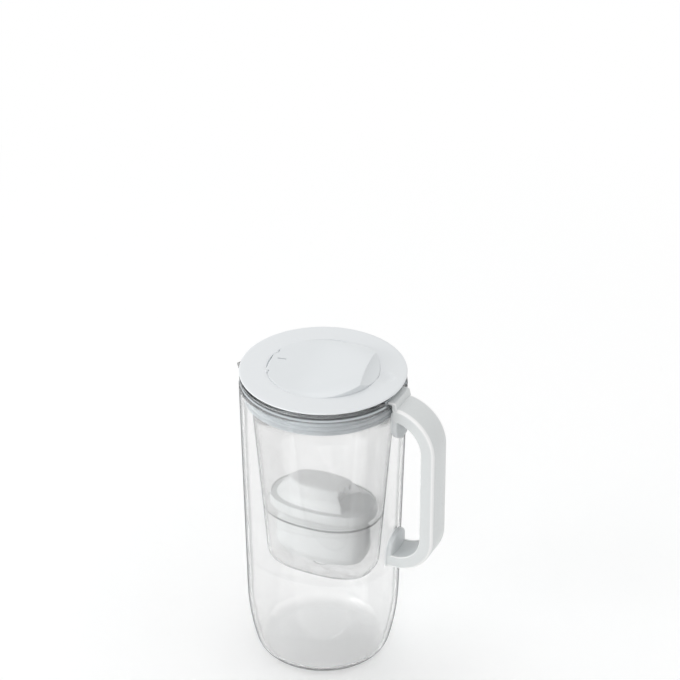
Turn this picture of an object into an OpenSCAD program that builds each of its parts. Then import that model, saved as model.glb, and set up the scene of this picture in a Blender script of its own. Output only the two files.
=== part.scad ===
// Water filter pitcher: a glass jug with a lift-out funnel, a drop-in filter
// cartridge and a lid with a flip flap. Lengths are in millimetres.
// Origin at the centre of the jug's foot, +Z up, +X towards the handle and
// -X towards the spout. The pieces stand assembled.

/* [Glass jug] */
// Outer radius of the rim
jug_rim_r = 64; // [62.5:0.5:70]
// Height of the rim above the foot
jug_h = 240; // [225:1:270]
// Thickness of the glass wall
glass_t = 3; // [2:0.1:4]
// Thickness of the glass floor
floor_t = 5; // [3:0.5:8]
// Radius of the round between foot and wall
foot_round = 12; // [8:1:16]
// Radius of the slow curve above the foot
belly_round = 184; // [120:1:240]
// Lean of the wall where the foot round ends, in degrees
belly_tilt = 15.6; // [10:0.1:20]
// Lean of the straight wall, in degrees
wall_tilt = 1.5; // [0.5:0.1:2.5]
// Reach of the spout beyond the rim
spout_reach = 9.5; // [6:0.5:12]
// Half angle that the spout takes of the rim, in degrees
spout_angle = 20; // [14:1:26]
// Drop of the spout's tip below the rim
spout_dip = 4; // [2:0.5:6]
// Height of the spout's body on the wall
spout_h = 34; // [20:1:45]

/* [Handle] */
// Reach of the grip's outer face beyond the rim
handle_reach = 33.2; // [30:0.1:44]
// Width of the handle along Y
handle_w = 26.8; // [22:0.1:32]
// Thickness of the handle's band
handle_t = 10.6; // [8:0.1:12]
// Wall of the handle's two mouldings
handle_wall = 2.4; // [1.8:0.1:3]
// Outer radius of the upper bend
handle_top_round = 36; // [28:1:38]
// Fall of the upper arm, in degrees
handle_top_tilt = 7; // [4:1:12]
// Outer radius of the lower bend
handle_low_round = 31; // [22:1:34]
// Height of the lower arm's underside above the foot
handle_foot_z = 94; // [86:1:98]
// Height of the upper bend's centre below the rim
handle_shoulder = 39; // [38:1:42]
// Height of the pads on the glass
handle_pad_h = 26; // [24:0.5:32]
// Thickness of the pads on the glass
handle_pad_t = 4.5; // [3:0.5:6]
// Drop of the upper pad below the rim
handle_pad_drop = 7; // [4:0.5:8]
// Height of the tongue that lies on the rim
tongue_h = 1.8; // [1:0.1:2]
// Overlap of the tongue on the rim
tongue_reach = 3.6; // [2:0.1:3.6]
// Thickness of the bond between handle and glass
bond_t = 0.5; // [0.3:0.1:1]

/* [Seal ring] */
// Thickness of the flange on the rim
seal_flange_t = 2.2; // [1.8:0.1:3]
// Depth of the ring below its flange
seal_depth = 13.1; // [11:0.1:15]
// Number of sealing lips
seal_lips = 3; // [2:1:4]
// Height of a lip above the ring's wall
seal_lip = 1; // [0.6:0.1:1.4]
// Thickness of the ring's wall
seal_wall = 2; // [1.5:0.1:2.5]
// Half angle of the gap in the lips at the spout, in degrees
pour_angle = 16; // [12:1:20]

/* [Funnel] */
// Thickness of the funnel's flange
funnel_flange_t = 2.5; // [2:0.1:3.5]
// Depth of the funnel below the top of its flange
funnel_h = 169; // [160:1:176]
// Height of the barrel band below the flange
band_h = 16; // [15.5:0.5:20]
// Wall of the barrel band
band_wall = 3.7; // [3:0.1:4.5]
// Step under the barrel band
band_step = 2; // [1.8:0.1:3]
// Wall of the funnel's body
funnel_t = 2; // [1.5:0.1:2.5]
// Height of the round under the funnel's body
funnel_round = 11; // [9:0.5:13]
// Inset of the funnel's bottom
funnel_inset = 8; // [6:0.5:9]
// Depth of the cut in both flanges that clears the handle
notch_depth = 3.7; // [3.7:0.1:4]
// Half width of that cut
notch_half_w = 19; // [16:0.5:22]
// Outer radius of the outlet tube
outlet_r = 8.5; // [6:0.5:10]
// Wall of the outlet tube
outlet_wall = 2; // [1.5:0.1:2.5]
// Height of the outlet tube above the funnel's floor
outlet_h = 18; // [10:1:22]
// Width of the drain notches in the outlet tube
drain_w = 4; // [2:0.5:5]
// Height of the drain notches
drain_h = 3; // [2:0.5:4]

/* [Cartridge] */
// Half length of the cartridge's body along X
cartridge_a = 38; // [36:0.5:40]
// Half width of the cartridge's body along Y
cartridge_b = 21.4; // [20:0.2:24]
// Height from the cartridge's underside to the top of its rim
cartridge_h = 49; // [46:1:56]
// Height of the rim
cartridge_rim_h = 6; // [4:0.5:8]
// Overhang of the rim
cartridge_rim = 5; // [3.5:0.1:5.4]
// Height of the hump on the rim
hump_h = 16; // [14:1:20]
// Wall of the cartridge's mouldings
cartridge_t = 1.6; // [1.2:0.1:2]
// Inset of the cartridge's underside
cartridge_inset = 4.5; // [3:0.5:6]
// Height of the slope round the cartridge's underside
cartridge_slope_h = 8; // [4:0.5:10]
// Space between the cartridge's underside and the funnel's floor
sump_h = 7.3; // [4:0.1:9]
// Thickness of the screens
screen_t = 0.6; // [0.4:0.1:1]
// Thickness of the fleece
fleece_t = 3; // [2:0.5:4]
// Radius of the thumb scoop in the hump's end
hump_scoop_r = 21; // [16:1:23]
// Place of the scoop's centre, inwards from the body's end
hump_scoop_inset = 2; // [1:0.5:6]
// Width of the lip round the rim
rim_lip_w = 1.1; // [0.8:0.1:1.5]
// Height of that lip above the rim
rim_lip_h = 2.4; // [1.8:0.1:3]

/* [Lid] */
// Turn of the lid on the funnel, in degrees
lid_turn = 10; // [-14:1:14]
// Reach of the lid beyond the funnel's flange
lid_overhang = 0.3; // [0.1:0.1:1.5]
// Height of the lid's edge
lid_edge_h = 3.8; // [3.4:0.1:5]
// Rise of the lid's dome
dome_rise = 1.5; // [1:0.1:3]
// Relief under the lid
lid_relief = 1.6; // [1:0.1:1.8]
// Width of the finger groove under the lid's edge
groove_w = 4.8; // [3:0.1:6]
// Height of that groove
groove_h = 2.3; // [1.5:0.1:2.6]
// Depth of the skirt below the lid
skirt_h = 5.5; // [3:0.5:7]
// Depth of the clips below the lid
clip_h = 12.5; // [9:0.5:13]
// Width of a clip
clip_w = 11.5; // [7:0.5:13]
// Thickness of the skirt and its clips
clip_t = 2; // [1.5:0.1:2.5]
// Turn of the clips from the flap's grip, in degrees
clip_turn = -16; // [-24:1:0]
// Depth of the finger dish beside the flap
dish_depth = 1.6; // [0.8:0.1:1.8]
// Radius of the finger dish's ball
dish_r = 20; // [16:1:26]

/* [Flap] */
// Radius of the round flap
flap_r = 43; // [42:0.5:45]
// Seat of the flap above the funnel's flange
flap_seat = 3; // [2.8:0.1:3.2]
// Rise of the flap's grip lip above the funnel's flange
grip_rise = 12.5; // [10:0.5:15]
// Place of the grip lip, inwards from the flap's end
grip_inset = 9; // [7:0.5:12]
// Start of the flap's slope along X
slope_x = -8; // [-14:1:4]
// Radius of the flap's crown across its slope
crown_r = 120; // [100:5:200]
// Wall of the flap
flap_t = 2; // [1.5:0.1:2.5]
// Width of the ledge round the fill opening
ledge_w = 5; // [4:0.5:7]
// Start of the fill opening along X
opening_x = -13; // [-14:1:-6]
// Radius of the hollow that slopes from the grip lip to the lid
grip_scoop_r = 13.4; // [12.8:0.1:16]
// Place of the hinge axis along X, from the flap's end
hinge_inset = 2.5; // [2:0.1:3]
// Drop of the hinge axis below the lid's top
hinge_drop = 1.3; // [1:0.1:1.4]
// Radius of the hinge nose
nose_r = 1.6; // [1.5:0.1:1.7]
// Height of the boss under the hinge
boss_h = 1.4; // [1.2:0.1:1.5]
// Half width of the hinge nose
nose_half_w = 13; // [10:0.5:13.5]
// Radius of the hinge pin
hinge_pin_r = 0.8; // [0.6:0.1:1]
// Width of a hinge lug
lug_w = 3; // [2:0.5:4]
// Length of the light slit in the flap
slit_l = 7; // [4:0.5:8]
// Width of the light slit
slit_w = 1.2; // [0.8:0.1:1.6]
// Place of the slit along Y
slit_y = 5; // [3:0.5:8]

/* [Indicator] */
// Radius of the indicator's case
indicator_r = 14.4; // [13.6:0.1:14.6]
// Height of the indicator
indicator_h = 16.7; // [16:0.1:20]
// Wall of the indicator's case
indicator_wall = 1.6; // [1.2:0.1:1.8]
// Thickness of the case's top
indicator_top_t = 2; // [1.6:0.1:2.4]
// Thickness of the base cap
base_cap_t = 3; // [2.5:0.1:4]
// Height of the base cap's spigot
spigot_h = 1.2; // [1.2:0.1:1.6]
// Drop of the indicator's top below the funnel's flange
indicator_sink = 1.2; // [0.5:0.1:2]
// Depth of the indicator's socket below the lid
socket_h = 7.6; // [5:0.1:9]
// Wall of the indicator's socket
socket_wall = 1.9; // [1.5:0.1:2]
// Space between the socket and the funnel's bore
socket_margin = 4.2; // [4:0.1:5]
// Radius of the coin cell
cell_r = 10; // [8:0.5:10]
// Thickness of the coin cell
cell_t = 3.2; // [2:0.1:3.2]
// Thickness of the circuit board
board_t = 1.2; // [0.8:0.1:1.6]
// Height between the cell and the board
contact_h = 1.6; // [1.4:0.1:2]
// Thickness of the contact strip
contact_t = 0.4; // [0.3:0.1:0.5]
// Width of the contact strip
contact_w = 4; // [2:0.5:5]
// Outer radius of the dark bezel
bezel_r = 6.5; // [6:0.1:8]
// Depth of the bezel's face below the case's top
bezel_sink = 0.8; // [0.4:0.1:1]
// Thickness of the bezel
bezel_t = 1.2; // [1:0.1:1.2]
// Radius of the light button
button_r = 4.2; // [3:0.1:5]
// Travel of the light button
button_travel = 0.8; // [0.4:0.1:0.8]

/* [Fits] */
// Gap between the seal's lips and the glass
seal_gap = 0.35; // [0.3:0.05:0.5]
// Gap between pieces that slide past each other
fit = 0.3; // [0.3:0.05:0.4]
// Gap round the flap
flap_gap = 0.4; // [0.3:0.05:0.6]
// Space between the cartridge and its well
well_gap = 4.6; // [3:0.1:5.4]
// Gap between the outlet tube and the cartridge's pocket
pocket_gap = 1; // [0.6:0.1:1.4]
// Gap between the hinge pin and the flap
pin_gap = 0.05; // [0.02:0.01:0.08]

/* [Hidden] */
$fn = 96;
eps = 0.01;
oval_power = 2.4;
oval_points = 44;
tall = 20;

// Glass: where the foot round, the slow curve and the straight wall meet.
belly_top_z = foot_round * (1 - sin(belly_tilt)) + belly_round * (sin(belly_tilt) - sin(wall_tilt));
foot_r = jug_rim_r - (jug_h - belly_top_z) * tan(wall_tilt)
    - belly_round * (cos(wall_tilt) - cos(belly_tilt)) - foot_round * cos(belly_tilt);
belly_x = foot_r - (belly_round - foot_round) * cos(belly_tilt);
belly_z = foot_round + (belly_round - foot_round) * sin(belly_tilt);

// Handle: centres of its two bends.
handle_x = jug_rim_r + handle_reach;
handle_root_x = jug_rim_r - 2 * tongue_reach;
top_bend = [handle_x - handle_top_round, jug_h - handle_shoulder];
low_bend = [handle_x - handle_low_round, handle_foot_z + handle_low_round];
upper_pad_z = jug_h - handle_pad_drop - handle_pad_h;

// Seal ring and funnel, from the glass inwards.
seal_flange_r = jug_rim_r - 0.5;
seal_lip_r = jug_rim_r - glass_t / cos(wall_tilt) - seal_depth * tan(wall_tilt) - seal_gap;
seal_body_r = seal_lip_r - seal_lip;
seal_bore_r = seal_body_r - seal_wall;
seal_top = jug_h + seal_flange_t;
seal_bottom = jug_h - seal_depth;
notch_r = seal_flange_r - notch_depth;
lid_r = seal_flange_r + lid_overhang;
band_r = seal_bore_r - fit;
funnel_bore_r = band_r - band_wall;
neck_r = band_r - band_step;
funnel_top = seal_top + funnel_flange_t;
neck_z = seal_top - band_h;
funnel_bottom = funnel_top - funnel_h;
funnel_floor = funnel_bottom + funnel_t;

// Cartridge, standing in the funnel.
cartridge_bottom = funnel_floor + sump_h;
rim_top = cartridge_bottom + cartridge_h;
rim_bottom = rim_top - cartridge_rim_h;
granules_bottom = cartridge_bottom + cartridge_t + screen_t;
fleece_bottom = rim_top - screen_t - fleece_t;
pocket_r = outlet_r + pocket_gap;
pocket_h = funnel_floor + outlet_h + pocket_gap - cartridge_bottom;
hump_top_inset = 14;
hump_side_inset = 6;
slope_top = cartridge_bottom + cartridge_slope_h;
slot_w = 2.4;
slot_l = 16;
slot_pitch = 5;
cap_slot_turn = 15;

// Lid and flap. The hollow of the grip runs through its lip and just above its seat.
hinge_x = -(flap_r - hinge_inset);
hinge_z = funnel_top + dome(hinge_x) - hinge_drop;
flap_bottom = funnel_top + flap_seat;
flap_tip_t = 1.3;
lip_x = flap_r - grip_inset;
lip_z = funnel_top + grip_rise;
flap_slope = atan((lip_z - hinge_z - nose_r) / (lip_x - slope_x));
grip_chord = [grip_inset, flap_bottom + flap_tip_t - lip_z];
grip_bulge = sqrt(pow(grip_scoop_r, 2) - pow(norm(grip_chord) / 2, 2)) / norm(grip_chord);
grip_centre = [lip_x, lip_z] + grip_chord / 2 + grip_bulge * [-grip_chord.y, grip_chord.x];
groove_r = nose_r + flap_gap;
relief_x = hinge_x + nose_r + flap_gap;

// Indicator.
socket_r = indicator_r + fit;
indicator_x = -(funnel_bore_r - socket_margin - socket_wall - socket_r);
indicator_top = funnel_top - indicator_sink;
indicator_bottom = indicator_top - indicator_h;
case_bottom = indicator_bottom + base_cap_t;
case_in_r = indicator_r - indicator_wall;
seal_ring_t = 1.2;
spigot_r = case_in_r - seal_ring_t;
cell_bottom = case_bottom + spigot_h;
board_bottom = cell_bottom + cell_t + contact_h;
board_top = board_bottom + board_t;
button_top = indicator_top - bezel_sink;
switch_h = button_top - bezel_t - button_travel - board_top - 1.6;
window_r = button_r + 0.6;
edge_round = (lid_edge_h - groove_h) / 2;
button_foot = 0.9;
button_foot_t = 0.8;
dish_x = flap_r + 6;

function dome(x) = lid_edge_h + dome_rise * (1 - pow(x / lid_r, 2));
function glass_r(z) = jug_rim_r - (jug_h - z) * tan(wall_tilt);
function arc(centre, r, from, to, steps) = [
    for (i = [0 : steps])
        let (a = from + (to - from) * i / steps)
        centre + r * [cos(a), sin(a)]
];
function oval(a, b) = [
    for (i = [0 : oval_points - 1])
        let (t = 360 * i / oval_points, c = cos(t), s = sin(t))
        [a * sign(c) * pow(abs(c), 2 / oval_power), b * sign(s) * pow(abs(s), 2 / oval_power)]
];

// Half outline of the jug up to a height, moved inwards by inset.
function jug_outline(inset, top) = concat(
    [[0, inset]],
    arc([foot_r, foot_round], foot_round - inset, -90, -belly_tilt, 10),
    arc([belly_x, belly_z], belly_round - inset, -belly_tilt, -wall_tilt, 14),
    [[jug_rim_r - inset / cos(wall_tilt) + (top - jug_h) * tan(wall_tilt), top], [0, top]]
);

// Side line of the handle at a depth below its outer face, from rim to foot.
function handle_line(depth) = concat(
    [arm_start(depth)],
    arc(top_bend, handle_top_round - depth, 90 - handle_top_tilt, 0, 10),
    arc(low_bend, handle_low_round - depth, 0, -90, 10),
    [[handle_root_x, handle_foot_z + depth]]
);
function arm_start(depth) =
    let (bend_end = top_bend + (handle_top_round - depth) * [sin(handle_top_tilt), cos(handle_top_tilt)])
    [handle_root_x, bend_end.y + (bend_end.x - handle_root_x) * tan(handle_top_tilt)];
function reversed(list) = [for (i = [len(list) - 1 : -1 : 0]) list[i]];

module side_extrude(width) rotate([90, 0, 0]) linear_extrude(width, center = true) children();
module oval_block(a, b, bottom, h) translate([0, 0, bottom]) linear_extrude(h) polygon(oval(a, b));
module oval_slice(a, b, z) oval_block(a, b, z, eps);
module disc(r, bottom, h) translate([0, 0, bottom]) cylinder(r = r, h = h);
module tube(outer, inner, bottom, h) difference() {
    disc(outer, bottom, h);
    disc(inner, bottom - 1, h + 2);
}

// Space taken by the jug, grown outwards by grow.
module jug_space(grow) rotate_extrude() polygon(jug_outline(-grow, jug_h));

// Point at a distance from the axis, turned from the spout's side by angle.
function spout_point(r, angle, z) = [-r * cos(angle), r * sin(angle), z];
module hull_points(points) hull() polyhedron(points, [[for (i = [0 : len(points) - 1]) i]]);

// V-shaped wedge of the spout: its tip, its two roots, its foot and a point inside the jug.
module spout_body() hull_points([
    spout_point(jug_rim_r + spout_reach, 0, jug_h - spout_dip),
    spout_point(jug_rim_r - glass_t / 3, spout_angle, jug_h - glass_t / 10),
    spout_point(jug_rim_r - glass_t / 3, -spout_angle, jug_h - glass_t / 10),
    spout_point(glass_r(jug_h - spout_h) - glass_t / 3, 0, jug_h - spout_h),
    spout_point(jug_rim_r - 2 * glass_t, 0, jug_h - spout_dip)
]);

// The channel cut in that wedge, one wall inside it and open at the top.
module spout_channel() {
    root_angle = spout_angle - asin(glass_t / jug_rim_r);
    root_r = jug_rim_r - glass_t / 2;
    tip_r = jug_rim_r + spout_reach - 1.3 * glass_t;
    foot_z = jug_h - spout_h + 1.5 * glass_t;
    above = jug_h + 5;
    hull_points([
        spout_point(tip_r, 0, jug_h - spout_dip - glass_t / 3),
        spout_point(tip_r, 0, above),
        spout_point(root_r, root_angle, jug_h - glass_t / 2),
        spout_point(root_r, -root_angle, jug_h - glass_t / 2),
        spout_point(root_r, root_angle, above),
        spout_point(root_r, -root_angle, above),
        spout_point(glass_r(foot_z) - 1.3 * glass_t, 0, foot_z),
        spout_point(jug_rim_r - 4 * glass_t, 0, above + glass_t)
    ]);
}

module glass_jug() color("#DDE6EA", 0.4) difference() {
    union() {
        rotate_extrude() polygon(jug_outline(0, jug_h));
        spout_body();
    }
    rotate_extrude() intersection() {
        polygon(jug_outline(glass_t, jug_h + 1));
        translate([0, floor_t]) square([jug_rim_r, jug_h]);
    }
    spout_channel();
}

// Band of the handle between two depths below its outer face.
module handle_band(from, to, width)
    side_extrude(width) polygon(concat(handle_line(from), reversed(handle_line(to))));

// Tongue that lies on the glass rim, stands on the upper arm.
module handle_tongue(width) side_extrude(width) polygon([
    [handle_root_x, jug_h - 2 * handle_wall], [jug_rim_r + 1.5 * tongue_h, jug_h - 2 * handle_wall],
    [jug_rim_r + tongue_h, jug_h + 0.6 * tongue_h], [jug_rim_r + 0.6 * tongue_h, jug_h + tongue_h],
    [handle_root_x, jug_h + tongue_h]
]);

module handle_shell() color("#E8EAEB") difference() {
    union() {
        handle_band(0, handle_t, handle_w);
        handle_tongue(handle_w);
    }
    handle_band(handle_wall, handle_t + 1, handle_w - 2 * handle_wall);
    jug_space(bond_t);
    disc(jug_rim_r - tongue_reach, jug_h - tall / 2, tall);
    pad_space(upper_pad_z);
    pad_space(handle_foot_z);
}

// Slab on the glass that the handle's pads fill.
module pad_space(bottom) intersection() {
    jug_space(handle_pad_t);
    translate([0, -handle_w / 2 - 1, bottom]) cube([handle_x, handle_w + 2, handle_pad_h]);
}

// Pad with a round end, between two distances from the glass.
module glass_pad(bottom, round_end, near, far) difference() {
    intersection() {
        jug_space(far);
        pad_outline(bottom, round_end);
    }
    jug_space(near);
}

module pad_outline(bottom, round_end) {
    half = handle_w / 2;
    square_bottom = round_end < 0 ? bottom + half : bottom;
    translate([0, 0, round_end < 0 ? bottom + half : bottom + handle_pad_h - half])
        rotate([0, 90, 0]) cylinder(r = half, h = handle_x);
    translate([0, -half, square_bottom]) cube([handle_x, handle_w, handle_pad_h - half]);
}

module handle_inner_plate() color("#DFE2E4") {
    difference() {
        handle_band(handle_t - handle_wall, handle_t, handle_w - 2 * handle_wall);
        jug_space(bond_t + handle_pad_t / 3);
    }
    glass_pad(upper_pad_z, -1, bond_t, handle_pad_t);
    glass_pad(handle_foot_z, 1, bond_t, handle_pad_t);
}

module handle_upper_bond() color("#F4F6F7") glass_pad(upper_pad_z, -1, 0, bond_t);
module handle_lower_bond() color("#F4F6F7") glass_pad(handle_foot_z, 1, 0, bond_t);

// Cut that clears the handle's tongue, through a flange.
module flange_notch(bottom, h) difference() {
    translate([0, -notch_half_w, bottom]) cube([jug_rim_r + 5, 2 * notch_half_w, h]);
    disc(notch_r, bottom - 1, h + 2);
}

module seal_ring() color("#9FA7AC") difference() {
    lip_pitch = seal_depth / (seal_lips + 0.5);
    union() {
        disc(seal_flange_r, jug_h, seal_flange_t);
        disc(seal_body_r, seal_bottom, seal_depth + 1);
        difference() {
            for (i = [0 : seal_lips - 1]) translate([0, 0, seal_bottom + lip_pitch * (i + 0.5)])
                cylinder(r1 = seal_body_r, r2 = seal_lip_r, h = lip_pitch / 2);
            pour_gap();
        }
    }
    disc(seal_bore_r, seal_bottom - 1, seal_depth + seal_flange_t + 2);
    flange_notch(jug_h - eps, seal_flange_t + 1);
}

// Wedge of the lips that is left open in front of the spout.
module pour_gap() difference() {
    translate([0, 0, seal_bottom - 1]) linear_extrude(seal_depth + 1 - eps) polygon([
        [0, 0],
        -2 * jug_rim_r * [cos(pour_angle), sin(pour_angle)],
        -2 * jug_rim_r * [cos(pour_angle), -sin(pour_angle)]
    ]);
    disc(seal_body_r, seal_bottom - 2, seal_depth + 4);
}

// Funnel body moved inwards by inset, from the neck to its bottom.
module funnel_body(inset) {
    a = cartridge_a + well_gap + funnel_t - inset;
    b = cartridge_b + well_gap + funnel_t - inset;
    hull() {
        disc(neck_r - inset, neck_z, eps, $fn = oval_points);
        oval_slice(a, b, funnel_bottom + funnel_round);
        oval_slice(a - funnel_inset, b - funnel_inset, funnel_bottom + inset);
    }
}

module funnel() color("#E6EDF0", 0.5) {
    difference() {
        union() {
            disc(seal_flange_r, seal_top, funnel_flange_t);
            disc(band_r, neck_z, band_h + 1);
            funnel_body(0);
        }
        disc(funnel_bore_r, neck_z - eps, band_h + funnel_flange_t + 2 * funnel_t);
        funnel_body(funnel_t);
        flange_notch(seal_top - eps, funnel_flange_t + 1);
        disc(outlet_r - outlet_wall, funnel_bottom - 1, funnel_t + 2);
    }
    cartridge_shelf();
    outlet_tube();
}

module cartridge_shelf() difference() {
    intersection() {
        funnel_body(funnel_t / 2);
        disc(jug_rim_r, rim_bottom - funnel_t, funnel_t);
    }
    oval_block(cartridge_a + 2 * fit, cartridge_b + 2 * fit, rim_bottom - funnel_t - 1, funnel_t + 2);
}

module outlet_tube() difference() {
    tube(outlet_r, outlet_r - outlet_wall, funnel_floor - eps, outlet_h);
    for (turn = [0, 90]) rotate([0, 0, turn])
        translate([-outlet_r - 1, -drain_w / 2, funnel_floor]) cube([2 * outlet_r + 2, drain_w, drain_h]);
}

// Inside of the cartridge between two heights, narrower down by the slope.
module cartridge_inside(from, to) {
    a = cartridge_a - cartridge_t;
    b = cartridge_b - cartridge_t;
    narrow_top = to > slope_top ? slope_top + eps : to;
    if (from < slope_top)
        oval_block(a - cartridge_inset, b - cartridge_inset, from, narrow_top - from);
    if (to > slope_top)
        oval_block(a, b, max(from, slope_top), to - max(from, slope_top));
}

// Block with the outline of the cartridge's rim moved inwards by inset.
module rim_block(inset, bottom, h)
    oval_block(cartridge_a + cartridge_rim - inset, cartridge_b + cartridge_rim - inset, bottom, h);

module cartridge_pocket(grow) disc(pocket_r + grow, cartridge_bottom - 1, pocket_h + 1 + grow);

module cartridge_housing() color("#F2F3F3") {
    difference() {
        union() {
            hull() {
                oval_slice(cartridge_a - cartridge_inset, cartridge_b - cartridge_inset, cartridge_bottom);
                oval_slice(cartridge_a, cartridge_b, slope_top - eps);
            }
            oval_block(cartridge_a, cartridge_b, slope_top - eps, rim_top - slope_top + eps);
            rim_block(0, rim_bottom, cartridge_rim_h + rim_lip_h);
        }
        rim_block(rim_lip_w, rim_top, tall);
        cartridge_inside(cartridge_bottom + cartridge_t, rim_top + 1);
        cartridge_pocket(0);
        for (x = outlet_slots()) translate([x, 0, cartridge_bottom])
            cube([slot_w, slot_l, 4 * cartridge_t], center = true);
    }
    difference() {
        disc(pocket_r + cartridge_t, cartridge_bottom, pocket_h + cartridge_t);
        cartridge_pocket(0);
    }
}

// Places of the slots in the cartridge's floor, both sides of its pocket.
function outlet_slots() = [
    for (side = [-1, 1], i = [0 : 3]) side * (pocket_r + cartridge_t + slot_pitch * (i + 0.7))
];

module cartridge_layer(from, to) difference() {
    cartridge_inside(from, to);
    if (from < cartridge_bottom + pocket_h + cartridge_t) cartridge_pocket(cartridge_t);
}

module cartridge_outlet_screen() color("#C9CDCF")
    cartridge_layer(cartridge_bottom + cartridge_t, granules_bottom);
module filter_granules() color("#8C8F86") cartridge_layer(granules_bottom, fleece_bottom);
module cartridge_fleece() color("#F6F6F2") cartridge_layer(fleece_bottom, rim_top - screen_t);
module cartridge_inlet_screen() color("#D5D8DA") cartridge_layer(rim_top - screen_t, rim_top);

// Hump moved inwards by inset.
module hump(inset) {
    a = cartridge_a - inset;
    b = cartridge_b - inset;
    hull() {
        oval_slice(a, b, rim_top - eps);
        oval_slice(a - hump_side_inset, b - 0.7 * hump_side_inset, rim_top + hump_h * 0.55);
        oval_slice(a - hump_top_inset, b - 0.7 * hump_top_inset, rim_top + hump_h - inset - eps);
    }
}

module hump_scoop(grow) translate([cartridge_a - hump_scoop_inset, 0, 0])
    disc(hump_scoop_r + grow, rim_top + cartridge_t, hump_h);

module cartridge_cap() color("#EDF0F0") difference() {
    union() {
        hump(0);
        rim_block(rim_lip_w + fit, rim_top, cartridge_t);
    }
    difference() {
        hump(cartridge_t);
        translate([cartridge_a - hump_scoop_inset, 0, 0])
            disc(hump_scoop_r + cartridge_t, rim_top, 2 * hump_h);
    }
    hump_scoop(0);
    for (i = [-2 : 2]) translate([cartridge_a - hump_scoop_inset, 0, rim_top + hump_h / 2])
        rotate([0, 0, cap_slot_turn * i])
            translate([-hump_scoop_r - cartridge_t / 2, 0, 0])
                cube([4 * cartridge_t, slot_w, hump_h / 3], center = true);
    rim_block(0, rim_top - 1, 1);
}

module at_lid() rotate([0, 0, lid_turn]) children();

module lid_disc() color("#E4E7E9") at_lid() difference() {
    union() {
        difference() {
            union() {
                lid_plate();
                hinge_boss();
            }
            disc(flap_r + flap_gap, flap_bottom, tall);
            translate([hinge_x, 0, hinge_z]) rotate([90, 0, 0])
                cylinder(r = groove_r, h = 2 * nose_half_w + 2 * flap_gap, center = true);
            fill_opening();
            translate([dish_x, 0, funnel_top + dome(dish_x) + dish_r - dish_depth])
                sphere(r = dish_r);
        }
        lid_clips();
        hinge_lugs();
        translate([indicator_x, 0, 0])
            tube(socket_r + socket_wall, socket_r, funnel_top + lid_relief - socket_h, socket_h);
    }
    hinge_bore(hinge_pin_r);
    translate([indicator_x, 0, 0]) disc(window_r, funnel_top, tall);
}

// Domed plate with a relief under it.
module lid_plate() rotate_extrude() polygon(concat(
    [[0, funnel_top + lid_relief], [funnel_bore_r - 1, funnel_top + lid_relief],
        [funnel_bore_r - 1, funnel_top], [lid_r - groove_w, funnel_top],
        [lid_r - edge_round, funnel_top + groove_h]],
    arc([lid_r - edge_round, funnel_top + groove_h + edge_round], edge_round, -60, 88, 6),
    [for (i = [11 : -1 : 0]) let (r = (lid_r - edge_round) * i / 12) [r, funnel_top + dome(r)]]
));

module fill_opening() intersection() {
    disc(flap_r - ledge_w, funnel_top - 1, tall);
    translate([opening_x, -flap_r, funnel_top - 1]) cube([2 * flap_r, 2 * flap_r, tall]);
}

// Skirt inside the funnel's bore, with four clips that reach deeper.
module lid_clips() intersection() {
    clip_r = funnel_bore_r - fit;
    tube(clip_r, clip_r - clip_t, funnel_top - clip_h, clip_h + lid_relief + eps);
    union() {
        disc(lid_r, funnel_top - skirt_h, tall);
        for (i = [0 : 3]) rotate([0, 0, clip_turn + 90 * i])
            translate([0, -clip_w / 2, funnel_top - clip_h - 1]) cube([lid_r, clip_w, clip_h]);
    }
}

// Strip under the lid that closes the groove of the hinge nose.
module hinge_boss() translate([hinge_x, 0, funnel_top + lid_relief - boss_h / 2])
    cube([2 * groove_r + 2, 2 * (nose_half_w + flap_gap + lug_w), boss_h + 2 * eps], center = true);

module hinge_lugs() for (side = [-1, 1])
    translate([hinge_x, side * (nose_half_w + flap_gap + lug_w / 2), 0]) {
        translate([0, 0, hinge_z]) rotate([90, 0, 0]) cylinder(r = nose_r, h = lug_w, center = true);
        translate([-nose_r, -lug_w / 2, funnel_top + lid_relief])
            cube([2 * nose_r, lug_w, hinge_z - funnel_top - lid_relief]);
    }

module hinge_bore(r) translate([hinge_x, 0, hinge_z]) rotate([90, 0, 0])
    cylinder(r = r, h = 2 * (nose_half_w + flap_gap + lug_w), center = true);

module flap_hinge_pin() color("#B9BEC2") at_lid() hinge_bore(hinge_pin_r);

// Block below the flap's top face, moved down by inset: level at the hinge, then a crowned slope.
module flap_block(inset) intersection() {
    side_extrude(2 * flap_r) polygon([
        [hinge_x, flap_bottom - inset], [flap_r, flap_bottom - inset],
        [flap_r, lip_z + grip_inset * tan(flap_slope) - inset],
        [slope_x, hinge_z + nose_r - inset], [hinge_x, hinge_z + nose_r - inset]
    ]);
    translate([0, 0, lip_z - crown_r]) rotate([0, 90, 0])
        cylinder(r = crown_r - inset, h = 2 * flap_r + 2, center = true);
}

// Hollow along Y that the grip's slope follows, grown by grow.
module grip_scoop(grow) translate([grip_centre.x, 0, grip_centre.y]) rotate([90, 0, 0])
    cylinder(r = grip_scoop_r + grow, h = 2 * flap_r, center = true);

module flip_flap() color("#E9ECEE") at_lid() difference() {
    union() {
        difference() {
            intersection() {
                disc(flap_r, flap_bottom, tall);
                flap_block(0);
            }
            flap_hollow();
            for (side = [-1, 1])
                translate([hinge_x - 5, side * (nose_half_w + flap_r) - flap_r, flap_bottom - 1])
                    cube([relief_x - hinge_x + 5, 2 * flap_r, tall]);
        }
        translate([hinge_x, 0, hinge_z]) rotate([90, 0, 0])
            cylinder(r = nose_r, h = 2 * nose_half_w, center = true);
    }
    hinge_bore(hinge_pin_r + pin_gap);
    grip_scoop(0);
    translate([indicator_x - slit_w, slit_y, flap_bottom + tall / 4])
        cube([slit_l, slit_w, tall], center = true);
}

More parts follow.
